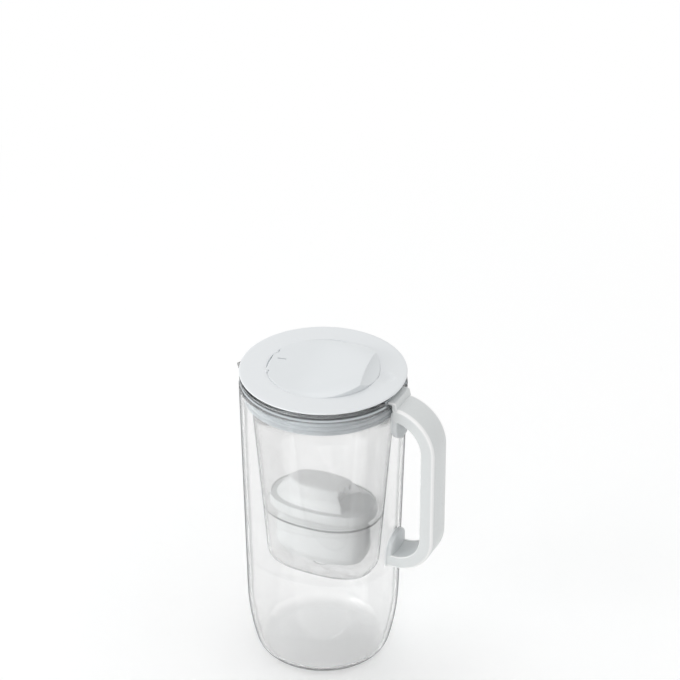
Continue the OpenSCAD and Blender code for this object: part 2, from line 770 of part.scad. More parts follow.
module flap_hollow() difference() {
    intersection() {
        disc(flap_r - flap_t, flap_bottom - 1, tall);
        flap_block(flap_t);
        translate([hinge_x + 2 * nose_r, -flap_r, 0]) cube([2 * flap_r, 2 * flap_r, 2 * jug_h]);
    }
    grip_scoop(flap_t);
}

module at_indicator() at_lid() translate([indicator_x, 0, 0]) children();

module indicator_case() color("#F0F2F3") at_indicator() difference() {
    disc(indicator_r, case_bottom, indicator_top - case_bottom);
    disc(case_in_r, case_bottom - 1, indicator_top - indicator_top_t - case_bottom + 1);
    disc(bezel_r, indicator_top - indicator_top_t - 1, indicator_top_t + 2);
}

module indicator_base_cap() color("#E3E6E8") at_indicator() difference() {
    union() {
        disc(indicator_r, indicator_bottom, base_cap_t);
        disc(spigot_r, case_bottom - eps, spigot_h + eps);
    }
    translate([0, 0, indicator_bottom]) cube([12, 1.6, 2], center = true);
}

module indicator_seal() color("#3A3D3F") at_indicator() rotate_extrude()
    translate([spigot_r + seal_ring_t / 2, case_bottom + seal_ring_t / 2]) circle(r = seal_ring_t / 2);

module indicator_cell() color("#BFC3C6") at_indicator() disc(cell_r, cell_bottom, cell_t);

// Contact strip: a flat on the cell and two legs up to the board.
module indicator_contact() color("#D9C27A") at_indicator() {
    strip_x = cell_r - 2;
    translate([-strip_x, -contact_w / 2, cell_bottom + cell_t]) cube([2 * strip_x, contact_w, contact_t]);
    for (x = [-strip_x, strip_x - contact_t]) translate([x, -contact_w / 2, cell_bottom + cell_t])
        cube([contact_t, contact_w, contact_h]);
}

module indicator_board() color("#2E6B4A") at_indicator() disc(case_in_r, board_bottom, board_t);

module indicator_light() color("#6FE08A") at_indicator()
    translate([button_r / 2 + 2.6, 0, board_top + 0.5]) cube([2, 2, 1], center = true);

module indicator_switch() color("#44484B") at_indicator()
    translate([0, 0, board_top + switch_h / 2]) cube([3, 3, switch_h], center = true);

module indicator_bezel() color("#3C4144") at_indicator()
    tube(bezel_r, button_r + fit, indicator_top - bezel_sink - bezel_t, bezel_t);

// Button with a foot under the bezel and a stem to the switch.
module light_button() color("#8BE8A2") at_indicator() {
    foot_bottom = indicator_top - bezel_sink - bezel_t - button_foot_t;
    stem_bottom = board_top + switch_h + button_travel;
    disc(button_r, foot_bottom, button_top - foot_bottom);
    disc(button_r + button_foot, foot_bottom, button_foot_t);
    disc(1, stem_bottom, foot_bottom - stem_bottom + eps);
}

glass_jug();
handle_shell();
handle_inner_plate();
handle_upper_bond();
handle_lower_bond();
seal_ring();
funnel();
cartridge_housing();
cartridge_cap();
cartridge_inlet_screen();
filter_granules();
cartridge_fleece();
cartridge_outlet_screen();
lid_disc();
flap_hinge_pin();
flip_flap();
indicator_case();
indicator_base_cap();
indicator_seal();
indicator_cell();
indicator_contact();
indicator_board();
indicator_light();
indicator_switch();
indicator_bezel();
light_button();
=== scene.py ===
# %% [markdown]
# # A glass water filter pitcher
# The piece is a tall glass jug with a white loop handle. A clear funnel hangs in its rim on a
# grey silicone ring, an oval filter cartridge stands in the funnel, and a round lid with a flip
# flap closes it. We load the measured frame first, because every piece that we model has to sit
# exactly where that frame says.

# %% Load the frame
import math
import bmesh
import bpy
from mathutils import Matrix, Vector


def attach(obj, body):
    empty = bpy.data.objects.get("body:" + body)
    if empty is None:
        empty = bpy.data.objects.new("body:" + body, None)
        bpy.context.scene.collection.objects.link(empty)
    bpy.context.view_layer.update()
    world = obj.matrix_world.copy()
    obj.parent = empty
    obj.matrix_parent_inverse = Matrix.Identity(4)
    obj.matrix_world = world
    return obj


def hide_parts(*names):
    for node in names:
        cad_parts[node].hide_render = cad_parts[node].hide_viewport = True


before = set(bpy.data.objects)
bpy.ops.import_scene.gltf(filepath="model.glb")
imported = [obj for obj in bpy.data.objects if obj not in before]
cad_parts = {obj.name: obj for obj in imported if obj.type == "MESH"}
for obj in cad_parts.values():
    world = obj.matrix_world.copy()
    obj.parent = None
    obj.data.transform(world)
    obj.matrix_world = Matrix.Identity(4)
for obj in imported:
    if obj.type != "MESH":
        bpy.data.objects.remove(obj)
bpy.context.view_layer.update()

# %% [markdown]
# ## Skinning rings of points
# Nearly every piece here is a vessel, a ring or a shell. They could be turned with a Screw
# modifier, but the spout, the notches and the round-to-oval funnel aren't turned shapes. So one
# function joins neighbouring rings of points with faces. A ring of one point is a pole, and a
# loop joins the last ring to the first, which closes the wall of a hollow piece.

# %% A skin over rings
MM = 0.001
SAME_POINT, NO_LENGTH = 2e-6, 1e-7
SHARP, SHARP_AFTER_CUT = 38, 34

def finish_mesh(name, bm, sharp_degrees=SHARP):
    """Merge, clean and smooth a mesh, and make it an object with its place in its mesh."""
    bmesh.ops.remove_doubles(bm, verts=bm.verts, dist=SAME_POINT)
    bmesh.ops.dissolve_degenerate(bm, edges=bm.edges, dist=NO_LENGTH)
    bmesh.ops.recalc_face_normals(bm, faces=bm.faces)
    mesh = bpy.data.meshes.new(name)
    bm.to_mesh(mesh)
    bm.free()
    mesh.shade_smooth()
    mesh.set_sharp_from_angle(angle=math.radians(sharp_degrees))
    piece = bpy.data.objects.new(name, mesh)
    bpy.context.scene.collection.objects.link(piece)
    print(f"{name}: {len(mesh.polygons)} faces, box {[round(v / MM, 1) for v in piece.dimensions]} mm")
    return piece

def skin(bm, rings, loop=False):
    made = [[bm.verts.new(Vector(point) * MM) for point in ring] for ring in rings]
    pairs = list(zip(made, made[1:] + made[:1])) if loop else list(zip(made, made[1:]))
    for low, high in pairs:
        count = max(len(low), len(high))
        if count == 1:
            continue
        for i in range(count):
            j = (i + 1) % count
            corners = [low[i % len(low)], low[j % len(low)], high[j % len(high)], high[i % len(high)]]
            bm.faces.new(list(dict.fromkeys(corners)))

# %% Closed shells, their place and their finish
def closed(rings):
    """The rings with a pole at the middle of the first one and of the last one."""
    def middle(ring):
        return [tuple(sum(point[k] for point in ring) / len(ring) for k in range(3))]
    return [middle(rings[0])] + rings + [middle(rings[-1])]

def shell(name, rings, loop=False, sharp_degrees=SHARP):
    bm = bmesh.new()
    skin(bm, rings, loop)
    return finish_mesh(name, bm, sharp_degrees)

def shift(piece, place):
    """Move a piece's mesh by so many mm; its object stays at the origin."""
    for vertex in piece.data.vertices:
        vertex.co += Vector(place) * MM

def dress(piece, node, body, material):
    """Put a piece in the place of the frame's node, on its body, in its finish."""
    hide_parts(node)
    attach(piece, body)
    piece.data.materials.clear()
    piece.data.materials.append(material)

# %% Arcs and rounded outlines
CORNER_STEPS, LONGEST_CORNER, POLE_R = 4, 0.49, 1e-6

def arc(cx, cz, r, start, end, steps):
    angles = [math.radians(start + (end - start) * i / steps) for i in range(steps + 1)]
    return [(cx + r * math.cos(t), cz + r * math.sin(t)) for t in angles]

def rounded(points, radii):
    """A closed outline whose corner at each point gets its own radius."""
    line = []
    for i, ((x, z), r) in enumerate(zip(points, radii)):
        here = Vector((x, z))
        before, after = Vector(points[i - 1]), Vector(points[(i + 1) % len(points)])
        if r <= 0:
            line.append((x, z))
            continue
        a, b = (before - here).normalized(), (after - here).normalized()
        longest = LONGEST_CORNER * min((before - here).length, (after - here).length)
        run = min(r / math.tan(a.angle(b) / 2), longest)
        start, end = here + a * run, here + b * run
        for k in range(CORNER_STEPS + 1):
            t = k / CORNER_STEPS
            line.append(tuple((1 - t) ** 2 * start + 2 * t * (1 - t) * here + t * t * end))
    return line

# %% Angles, ovals and circles
def turns(step=3.0, extra=()):
    """Angles in degrees round the axis, with extra ones where a shape changes quickly."""
    base = [i * step - 180 for i in range(int(360 / step))]
    clear = [a for a in base if all(abs(a - e) > 0.25 * step for e in extra)]
    return sorted(clear + list(extra))

def oval_point(a, b, degrees, power):
    """A point of an oval that is fuller than an ellipse where power is over 2."""
    c, s = math.cos(math.radians(degrees)), math.sin(math.radians(degrees))
    x = math.copysign(abs(c) ** (2 / power), c) * a
    return x, math.copysign(abs(s) ** (2 / power), s) * b

def circle(r, z, angles):
    """A ring round the axis, or a pole where its radius is nothing."""
    if r < POLE_R:
        return [(0, 0, z)]
    return [(r * math.cos(math.radians(t)), r * math.sin(math.radians(t)), z) for t in angles]

def circles(outline, angles):
    return [circle(r, z, angles) for r, z in outline]

def revolve(name, outline, angles):
    return shell(name, circles(outline, angles), loop=True)

# %% [markdown]
# ## One helper for every material
# A material here is a small tree of nodes. Writing it out node by node hides the idea, so one
# function adds a node, sets its values and joins its links. Colours are written as the sRGB hex
# values that a picture editor shows, and one function turns them to the linear values that the
# renderer works in.

# %% Nodes and colours
WHITE = (1, 1, 1, 1)

def linear(code):
    parts = [int(code[i:i + 2], 16) / 255 for i in (1, 3, 5)]
    return tuple(c / 12.92 if c <= 0.04045 else ((c + 0.055) / 1.055) ** 2.4 for c in parts) + (1.0,)

def add(tree, kind, sockets=None, **settings):
    """Add a node; a value that is a node or a socket is linked, and any other is set."""
    node = tree.nodes.new(kind)
    for key, value in settings.items():
        setattr(node, key, value)
    for key, value in (sockets or {}).items():
        source = value.outputs[0] if isinstance(value, bpy.types.Node) else value
        if isinstance(source, bpy.types.NodeSocket):
            tree.links.new(source, node.inputs[key])
        else:
            node.inputs[key].default_value = value
    return node

def new_material(name):
    material = bpy.data.materials.new(name)
    material.use_nodes = True
    material.node_tree.nodes.clear()
    return material, material.node_tree

def pattern(tree, size_mm, stretch=(1, 1, 1), detail=2.0):
    """Noise whose grains are about size_mm across, fixed to the object."""
    place = add(tree, "ShaderNodeTexCoord").outputs["Object"]
    stretched = add(tree, "ShaderNodeMapping", {"Vector": place, "Scale": stretch})
    return add(tree, "ShaderNodeTexNoise", {"Vector": stretched, "Scale": 1 / (size_mm * MM),
                                            "Detail": detail}).outputs["Fac"]

print("grey #808080 in linear values:", [round(v, 3) for v in linear("#808080")[:3]])

# %% [markdown]
# ## Moulded plastic, rubber and metal
# Injection moulded plastic is one colour all through, yet the eye sees three things on it: a
# spark-eroded grain that breaks up the highlight, a faint change of shade where the melt
# flowed, and small differences in gloss. One function makes such a surface from a real grain
# size, because the parts differ only in those numbers. Map Range nodes take the value first,
# then the range that it comes from and the range that it goes to.

# %% A moulded surface
BUMP, GLOSS_SPREAD, GLOW = 0.5, 0.06, 0.3
LEVEL_FROM, LEVEL_TO = 0.5, 0.95
CORNER_RISE, CORNER_FALL = (0.08, 0.3), (0.88, 0.99)

def moulded(name, colour, shade, roughness, grain_mm, grain_depth_mm, metallic=0.0, ior=1.49,
            flow_mm=35, glow=None, stretch=(1, 1, 1), top=None, corner=None):
    """Plastic that drifts from colour to shade, with painted shade on its level faces (top) and a painted
    highlight on its rounded side corners (corner).
    """
    material, tree = new_material(name)
    grain = pattern(tree, grain_mm, stretch)
    flow = pattern(tree, flow_mm, (1, 1, 0.5), 1.0)
    bump = add(tree, "ShaderNodeBump", {"Strength": BUMP, "Distance": grain_depth_mm * MM, "Height": grain})
    tint = add(tree, "ShaderNodeMix", {0: flow, 6: linear(colour), 7: linear(shade)},
               data_type="RGBA").outputs[2]
    normal = add(tree, "ShaderNodeNewGeometry").outputs["Normal"]
    axes = add(tree, "ShaderNodeSeparateXYZ", {"Vector": normal}).outputs
    # Painted shade: level faces are mixed towards the top colour, which is darker than the sides.
    if top:
        level = add(tree, "ShaderNodeMapRange", {0: axes["Z"], 1: LEVEL_FROM, 2: LEVEL_TO})
        tint = add(tree, "ShaderNodeMix", {0: level, 6: tint, 7: linear(top)}, data_type="RGBA").outputs[2]
    # Painted highlight: rounded side corners, where the normal turns part way towards Y, are mixed towards
    # the pale corner colour.
    if corner:
        side = add(tree, "ShaderNodeMath", {0: axes["Y"]}, operation="ABSOLUTE")
        rise = add(tree, "ShaderNodeMapRange", {0: side, 1: CORNER_RISE[0], 2: CORNER_RISE[1]})
        fall = add(tree, "ShaderNodeMapRange", {0: side, 1: CORNER_FALL[0], 2: CORNER_FALL[1],
                                                3: 1.0, 4: 0.0})
        painted_highlight_share = add(tree, "ShaderNodeMath", {0: rise, 1: fall}, operation="MULTIPLY")
        tint = add(tree, "ShaderNodeMix", {0: painted_highlight_share, 6: tint, 7: linear(corner)},
                   data_type="RGBA").outputs[2]
    gloss = add(tree, "ShaderNodeMapRange", {0: grain, 1: 0.3, 2: 0.7, 3: roughness - GLOSS_SPREAD,
                                             4: roughness + GLOSS_SPREAD})
    surface = add(tree, "ShaderNodeBsdfPrincipled", {"Base Color": tint, "Roughness": gloss,
                                                     "Metallic": metallic, "Normal": bump})
    if metallic == 0:
        surface.inputs["IOR"].default_value = ior
    if glow:
        surface.inputs["Emission Color"].default_value = linear(glow)
        surface.inputs["Emission Strength"].default_value = GLOW
    add(tree, "ShaderNodeOutputMaterial", {"Surface": surface})
    return material

# %% The opaque finishes
# ABS, satin moulded: pale cool white with a soft broad highlight. Its level top carries painted shade, so
# it is darker than its thin skirt and clips.
lid_abs = moulded("ABS_satin_moulded_lid", "#EEF1F3", "#EAEDEF", 0.34, 0.6, 0.012, top="#E5E8EA")
flap_abs = moulded("ABS_satin_moulded_flap", "#E4E7E9", "#DFE3E5", 0.34, 0.6, 0.012)
# ABS, fine satin: a touch glossier on the handle, where hands polish it. Its long rounded corners carry a
# painted highlight, paler than its faces. The inside plate is matt.
handle_abs = moulded("ABS_fine_satin_handle", "#DFE2E2", "#DADDDD", 0.30, 0.5, 0.010, corner="#FCFCFC")
handle_inner_abs = moulded("ABS_matt_handle_inside", "#D9DCDD", "#D5D8D9", 0.42, 0.5, 0.012)
# Polypropylene, moulded: whiter and waxier than ABS, so its highlight is dim and wide.
cartridge_pp = moulded("polypropylene_waxy_moulded", "#F6F7F7", "#F2F4F4", 0.40, 0.8, 0.012)
# The cap is painted whiter than the tub: painted light for what the lid above it takes away.
cap_pp = moulded("polypropylene_waxy_cap", "#F9FAFA", "#F5F6F6", 0.40, 0.8, 0.012)
# Silicone, compression moulded: mid grey and matt. Its flat flange on top and its other level faces carry
# painted shade, much darker than the ribs.
seal_silicone = moulded("silicone_compression_moulded", "#C9CED1", "#C0C6CA", 0.7, 0.9, 0.02, ior=1.41,
                        top="#8B9195")
# ABS, gloss moulded: a tighter highlight on the light case. Its bezel and button are
# polycarbonate, which is denser, and the button passes the green of the lamp below it.
case_abs = moulded("ABS_gloss_indicator_case", "#F0F2F3", "#EBEEEF", 0.22, 0.5, 0.006)
bezel_pc = moulded("polycarbonate_grey_bezel", "#E9EEEA", "#E2E8E4", 0.25, 0.5, 0.004, ior=1.58)
button_pc = moulded("polycarbonate_lit_button", "#D0E7C2", "#BFDCBE", 0.3, 0.5, 0.004, ior=1.58,
                    glow="#9BD98A")
print("opaque finishes, from", lid_abs.name, "to", button_pc.name)

# %% [markdown]
# ## Clear glass and clear plastic
# Clean glass on a white ground is nearly invisible: it shows as thin grey lines where we look along its
# wall. There the grey tint stands in for the long way that light takes through the wall, and a dark diffuse
# line is painted shade for those edges; both follow Layer Weight's Facing. A small share of the light goes
# straight through instead of bending, more so at a polished rim, which keeps the wall calm. Where a moulded
# step turns level, a line of painted shade is drawn along its corner too. The shadow of clear glass is
# faint, so lamps pass it by way of Light Path's Is Shadow Ray.

# %% A clear wall
RIPPLE_BUMP, RIPPLE_DEPTH = 0.3, 0.01 * MM
LINE_FULL, LINE_SHARE, STEP_SHARE, RIM_SHARE = 0.97, 0.85, 0.6, 0.4
faint_shadow = linear("#FBFCFC")

def clear_wall(name, edge, ior, roughness, ripple_mm, edge_start, bend, line, line_start,
               rim_mm=None, step_mm=None):
    """A wall that turns to the edge tint and then to a line of painted shade where it is seen along its
    surface, with painted shade along a step at step_mm.
    """
    material, tree = new_material(name)
    ripple = pattern(tree, ripple_mm, (1, 1, 0.35), 1.0)
    bump = add(tree, "ShaderNodeBump", {"Strength": RIPPLE_BUMP, "Distance": RIPPLE_DEPTH,
                                        "Height": ripple})
    facing = add(tree, "ShaderNodeLayerWeight", {"Blend": 0.5}).outputs["Facing"]
    along = add(tree, "ShaderNodeMapRange", {0: facing, 1: edge_start})
    tint = add(tree, "ShaderNodeMix", {0: along, 6: WHITE, 7: linear(edge)}, data_type="RGBA").outputs[2]
    glass = add(tree, "ShaderNodeBsdfPrincipled", {"Base Color": tint, "Roughness": roughness, "IOR": ior,
                                                   "Transmission Weight": 1.0, "Normal": bump})
    place = add(tree, "ShaderNodeTexCoord").outputs["Object"]
    height = add(tree, "ShaderNodeSeparateXYZ", {"Vector": place}).outputs["Z"]
    share = add(tree, "ShaderNodeMapRange", {0: along, 3: bend})
    if rim_mm:
        polish = add(tree, "ShaderNodeMapRange", {0: height, 1: (rim_mm - 1) * MM, 2: (rim_mm + 0.5) * MM,
                                                  3: 1.0, 4: RIM_SHARE})
        share = add(tree, "ShaderNodeMath", {0: share, 1: polish}, operation="MULTIPLY")
    straight = add(tree, "ShaderNodeBsdfTransparent", {"Color": WHITE})
    wall = add(tree, "ShaderNodeMixShader", {0: share, 1: straight, 2: glass})
    # Painted shade: a dark diffuse line where the wall is seen along its surface.
    drawn = add(tree, "ShaderNodeMapRange", {0: facing, 1: line_start, 2: LINE_FULL, 4: LINE_SHARE})
    # Painted shade: a dark line along a moulded step where its face turns level.
    if step_mm:
        normal = add(tree, "ShaderNodeNewGeometry").outputs["Normal"]
        upright = add(tree, "ShaderNodeSeparateXYZ", {"Vector": normal}).outputs["Z"]
        level = add(tree, "ShaderNodeMath", {0: upright}, operation="ABSOLUTE")
        turned_level = add(tree, "ShaderNodeMapRange", {0: level, 1: 0.25, 2: 0.6, 4: STEP_SHARE})
        near = add(tree, "ShaderNodeMath", {0: height, 1: step_mm * MM, 2: 1.0 * MM}, operation="COMPARE")
        crease = add(tree, "ShaderNodeMath", {0: turned_level, 1: near}, operation="MULTIPLY")
        drawn = add(tree, "ShaderNodeMath", {0: drawn, 1: crease}, operation="MAXIMUM")
    dark = add(tree, "ShaderNodeBsdfDiffuse", {"Color": linear(line)})
    outlined = add(tree, "ShaderNodeMixShader", {0: drawn, 1: wall, 2: dark})
    lamp_ray = add(tree, "ShaderNodeLightPath").outputs["Is Shadow Ray"]
    open_way = add(tree, "ShaderNodeBsdfTransparent", {"Color": faint_shadow})
    surface = add(tree, "ShaderNodeMixShader", {0: lamp_ray, 1: outlined, 2: open_way})
    add(tree, "ShaderNodeOutputMaterial", {"Surface": surface})
    return material

# %% The two clear finishes
# Borosilicate glass, blown in a mould: colourless faces, thin grey edges of painted shade, slow ripples.
jug_glass = clear_wall("borosilicate_glass_mould_blown", "#8A9297", ior=1.47, roughness=0.0, ripple_mm=60,
                       edge_start=0.74, bend=0.92, line="#343A3E", line_start=0.76, rim_mm=238.5)
# Styrene copolymer, injection moulded: as clear as glass, with a cooler, softer edge, and painted shade
# along the step under its band.
funnel_clear = clear_wall("styrene_copolymer_clear_moulded", "#8A9399", ior=1.50, roughness=0.02,
                          ripple_mm=45, edge_start=0.76, bend=0.88, line="#4A5256", line_start=0.76,
                          step_mm=226.2)
print("clear finishes:", jug_glass.name, "and", funnel_clear.name)

# %% [markdown]
# ## The glass jug
# The jug is blown in a mould: a round foot, a slow belly curve, a nearly straight wall and a
# pinched V for the spout. We draw half of its section as one closed line, outer face up and
# inner face down, and turn it. Near the spout each point moves out to the two planes that meet
# in the V, which keeps the wall's thickness and lets the crease fade into the round wall.

# %% Lines of the jug's wall
JUG_H, RIM_R, GLASS_T, FLOOR_T = 240.0, 64.0, 3.0, 5.0
WALL_TILT, BELLY_TILT, FOOT_ROUND, BELLY_ROUND = 1.5, 15.6, 12.0, 184.0
WALL_HEIGHTS = (80, 110, 140, 170, 190, 200, 206, 210, 214, 218, 222, 226, 229, 232, 234.5, 236.5)

def glass_r(z):
    return RIM_R - (JUG_H - z) * math.tan(math.radians(WALL_TILT))

lean = math.radians(WALL_TILT)
tilt = math.radians(BELLY_TILT)
belly_top = FOOT_ROUND * (1 - math.sin(tilt)) + BELLY_ROUND * (math.sin(tilt) - math.sin(lean))
foot_r = glass_r(belly_top) - BELLY_ROUND * (math.cos(lean) - math.cos(tilt)) - FOOT_ROUND * math.cos(tilt)
belly_x = foot_r - (BELLY_ROUND - FOOT_ROUND) * math.cos(tilt)
belly_z = FOOT_ROUND + (BELLY_ROUND - FOOT_ROUND) * math.sin(tilt)

def jug_side(inset):
    line = arc(foot_r, FOOT_ROUND, FOOT_ROUND - inset, -90, -BELLY_TILT, 10)
    line += arc(belly_x, belly_z, BELLY_ROUND - inset, -BELLY_TILT, -WALL_TILT, 12)[1:]
    start = line[-1][1] + 4
    return line + [(glass_r(z) - inset / math.cos(lean), z) for z in WALL_HEIGHTS if z > start]

print("belly curve ends", round(belly_top, 1), "mm up")

# %% Section of the jug
# The rim is fire polished to a half round. The fillet is where the wall meets the floor.
rim = [(RIM_R - inset, JUG_H - drop) for inset, drop in
       [(0.1, 1.6), (0.35, 0.6), (0.9, 0.1), (1.5, 0.0), (2.1, 0.1), (2.65, 0.6), (2.95, 1.6)]]
inside = [p for p in jug_side(GLASS_T) if p[1] > FLOOR_T + 1.6]
fillet = [(inside[0][0] - inset, FLOOR_T + up) for inset, up in [(0.9, 0.95), (2.4, 0.3), (5, 0)]]
section = [(0, 0), (foot_r * 0.5, 0), (foot_r * 0.85, 0)] + jug_side(0) + rim
section += inside[::-1] + fillet + [(foot_r * 0.4, FLOOR_T), (0, FLOOR_T)]
print("jug foot radius", round(foot_r, 2), "mm,", len(section), "points in its section")

# %% The spout's planes
SPOUT_ANGLE, SPOUT_REACH, SPOUT_DIP, SPOUT_H = 20.0, 9.5, 4.0, 34.0
SPOUT_WALL, SPOUT_FADE, SPOUT_TURN, SPOUT_SOFT = 3.9, 6.0, 26.0, 0.9
ROOT_OUT, ROOT_IN, INNER_FOOT_UP, DIP_CURVE = 63.2, 61.0, 4.5, 1.15

def plane_radius(tip, root, foot):
    normal = (Vector(root) - Vector(tip)).cross(Vector(foot) - Vector(tip))
    level = normal.dot(Vector(tip))
    def radius(turn, z):
        return (level - normal.z * z) / (normal.x * math.cos(turn) + normal.y * math.sin(turn))
    return radius

root = math.radians(SPOUT_ANGLE)
inner_root = root - math.asin(GLASS_T / RIM_R)
tip_z, foot_z = JUG_H - SPOUT_DIP, JUG_H - SPOUT_H
inner_foot_z = foot_z + INNER_FOOT_UP
outer_plane = plane_radius((RIM_R + SPOUT_REACH, 0, tip_z),
                           (ROOT_OUT * math.cos(root), ROOT_OUT * math.sin(root), JUG_H),
                           (glass_r(foot_z) - 1, 0, foot_z))
inner_plane = plane_radius((RIM_R + SPOUT_REACH - SPOUT_WALL, 0, tip_z),
                           (ROOT_IN * math.cos(inner_root), ROOT_IN * math.sin(inner_root), JUG_H),
                           (glass_r(inner_foot_z) - SPOUT_WALL, 0, inner_foot_z))
print("crease of the spout, from the axis:", round(outer_plane(0, tip_z), 1), "mm")

# %% A point of the jug
def soft_max(a, b):
    return (a + b + math.sqrt((a - b) ** 2 + SPOUT_SOFT ** 2) - SPOUT_SOFT) / 2

def jug_point(r, z, degrees):
    """A point of the jug's section turned to an angle that is counted from the spout."""
    turn = math.radians(abs(degrees))
    up = z - JUG_H + SPOUT_H + SPOUT_FADE
    if abs(degrees) < SPOUT_TURN and up > 0:
        share = up / (SPOUT_H + SPOUT_FADE)
        z -= share * SPOUT_DIP * max(0.0, 1 - abs(degrees) / SPOUT_ANGLE) ** DIP_CURVE
        depth = min(max((glass_r(z) - r) / GLASS_T, 0), 1)
        outer = soft_max(glass_r(z), outer_plane(turn, z))
        inner = soft_max(glass_r(z) - GLASS_T, inner_plane(turn, z))
        r = outer + (inner - outer) * depth
    place = math.radians(degrees)
    return -r * math.cos(place), -r * math.sin(place), z

# %% Turn the jug
BOTH = (-1, 1)
spout_steps = (1, 2, 3.5, 5, 7, 9, 11, 13, 15, 16.5, 18, 19, 20, 21, 22.5, 24, 25.9)
jug_angles = turns(1.2, [0.0] + [side * a for a in spout_steps for side in BOTH])
jug_rings = [[jug_point(r, z, t) for t in jug_angles] if r > 0 else [(0, 0, z)] for r, z in section]
glass_jug = shell("glass_jug_blown", jug_rings, sharp_degrees=50)
dress(glass_jug, "glass_jug", "jug", jug_glass)

# %% [markdown]
# ## The handle
# The handle is two mouldings: a channel that the palm feels and a plate that closes it on the
# finger side. A Curve with a bevel object would round every edge alike, so we sweep a section
# along the band's own line instead. Each section point has a depth below the outer face and a
# place across the band, and the offset line at that depth tells where it goes.

# %% Line of the handle
HANDLE_W, HANDLE_T, HANDLE_WALL = 26.8, 10.6, 2.4
HANDLE_X, ROOT_X = RIM_R + 33.2, 64.8
TOP_R, TOP_TILT, TOP_DROP, LOW_R, FOOT_Z, LOW_ENDS = 36.0, 7.0, 39.0, 31.0, 94.0, (63.6, 61.5)
top_bend = Vector((HANDLE_X - TOP_R, JUG_H - TOP_DROP))
low_bend = Vector((HANDLE_X - LOW_R, FOOT_Z + LOW_R))

def handle_line(depth):
    """The band's line at a depth below its outer face, from the rim round to the lower pad."""
    lean_end = arc(*top_bend, TOP_R - depth, 90 - TOP_TILT, 0, 1)[0]
    start_z = lean_end[1] + (lean_end[0] - ROOT_X) * math.tan(math.radians(TOP_TILT))
    top = arc(*top_bend, TOP_R - depth, 90 - 2.2 * TOP_TILT, 0, 16)
    straight = [(HANDLE_X - depth, z) for z in (188, 172, 156, 140)]
    low = arc(*low_bend, LOW_R - depth, 0, -88, 16)
    return [(ROOT_X, start_z)] + top + straight + low + [(x, FOOT_Z + depth) for x in LOW_ENDS]

def on_glass(y, z, gap):
    """The x at which a point stands off the glass by gap."""
    return math.sqrt((glass_r(z) + gap) ** 2 - y * y)

def sweep(bm, outline, gap):
    """Sweep a section along the handle; its two ends stop at a gap from the glass."""
    lines = {depth: handle_line(depth) for depth in {d for d, _ in outline}}
    count = len(handle_line(0))
    rings = []
    for i in range(count):
        ring = [(*lines[depth][i], y) for depth, y in outline]
        if i in (0, count - 1):
            ring = [(on_glass(y, z, gap), z, y) for _, z, y in ring]
        rings.append([(x, y, z) for x, z, y in ring])
    skin(bm, closed(rings))

print("the handle is swept through", len(handle_line(0)), "places")

# %% Pads on the glass
PAD_POINTS, PAD_SQUARE, PAD_ROUND = 48, 0.28, 0.9
PAD_HALF_H, PAD_NEAR, PAD_FAR = 13.0, 0.5, 4.5

def pad(bm, middle_z, half_w, round_up):
    """A cushion-edged pad whose faces follow the glass; one end is round."""
    outline = []
    for k in range(PAD_POINTS):
        t = 2 * math.pi * k / PAD_POINTS
        power = PAD_SQUARE if math.sin(t) * round_up < 0 else PAD_ROUND
        y = half_w * math.copysign(abs(math.cos(t)) ** power, math.cos(t))
        z = PAD_HALF_H * math.copysign(abs(math.sin(t)) ** power, math.sin(t))
        outline.append((y, z))
    def ring(scale, gap):
        flat = [(y * scale, middle_z + z * scale) for y, z in outline]
        return [(on_glass(y, z, gap), y, z) for y, z in flat]
    inner = [ring(scale, PAD_NEAR) for scale in (0.25, 0.5, 0.75, 0.97)]
    edge = [ring(1.0, PAD_NEAR + 0.5), ring(1.0, PAD_FAR - 1.2), ring(0.985, PAD_FAR - 0.4)]
    outer = [ring(scale, PAD_FAR) for scale in (0.94, 0.7, 0.45, 0.2)]
    near, far = [[(on_glass(0, middle_z, gap), 0, middle_z)] for gap in (PAD_NEAR, PAD_FAR)]
    skin(bm, [near] + inner + edge + outer + [far])

# %% The tongue over the rim
half = HANDLE_W / 2
TONGUE_UNDER, TONGUE_TOP = JUG_H + 0.05, JUG_H + 1.8

def tongue(bm):
    """It bends with the rim as far out as the glass goes, and is straight beyond."""
    bent = [(60.5, TONGUE_UNDER, TONGUE_TOP - 0.9), (60.7, TONGUE_UNDER, TONGUE_TOP - 0.2),
            (61.4, TONGUE_UNDER, TONGUE_TOP), (64.3, TONGUE_UNDER, TONGUE_TOP), (64.65, 235.4, TONGUE_TOP)]
    straight = [(65.1, 235.3, TONGUE_TOP - 0.1), (65.6, 235.3, TONGUE_TOP - 0.6), (66.4, 235.2, 237.6),
                (66.7, 235.2, 235.9)]
    rings = []
    for x, low, high in bent + straight:
        outline = rounded([(-half, low), (half, low), (half, high), (-half, high)], [0, 0, 1.2, 1.2])
        is_bent = (x, low, high) in bent
        rings.append([(math.sqrt(x * x - y * y) if is_bent else x, y, z) for y, z in outline])
    skin(bm, closed(rings))

# %% Sweep the handle
PLATE_DEPTH, PLATE_GAP = 7.9, 0.15
channel = half - HANDLE_WALL
shell_section = rounded([(0, -half), (0, half), (HANDLE_T, half), (HANDLE_T, channel),
                         (HANDLE_WALL, channel), (HANDLE_WALL, -channel), (HANDLE_T, -channel),
                         (HANDLE_T, -half)], [3.0, 3.0, 1.0, 0.4, 0.6, 0.6, 0.4, 1.0])
plate_y, plate_face = channel - PLATE_GAP, HANDLE_T - 0.1
plate_section = rounded([(PLATE_DEPTH, -plate_y), (PLATE_DEPTH, plate_y), (plate_face, plate_y),
                         (plate_face, -plate_y)], [0.3, 0.3, 0.8, 0.8])

bm = bmesh.new()
sweep(bm, shell_section, 0.9)
tongue(bm)
handle_channel = finish_mesh("handle_channel", bm)
dress(handle_channel, "handle_shell", "jug", handle_abs)

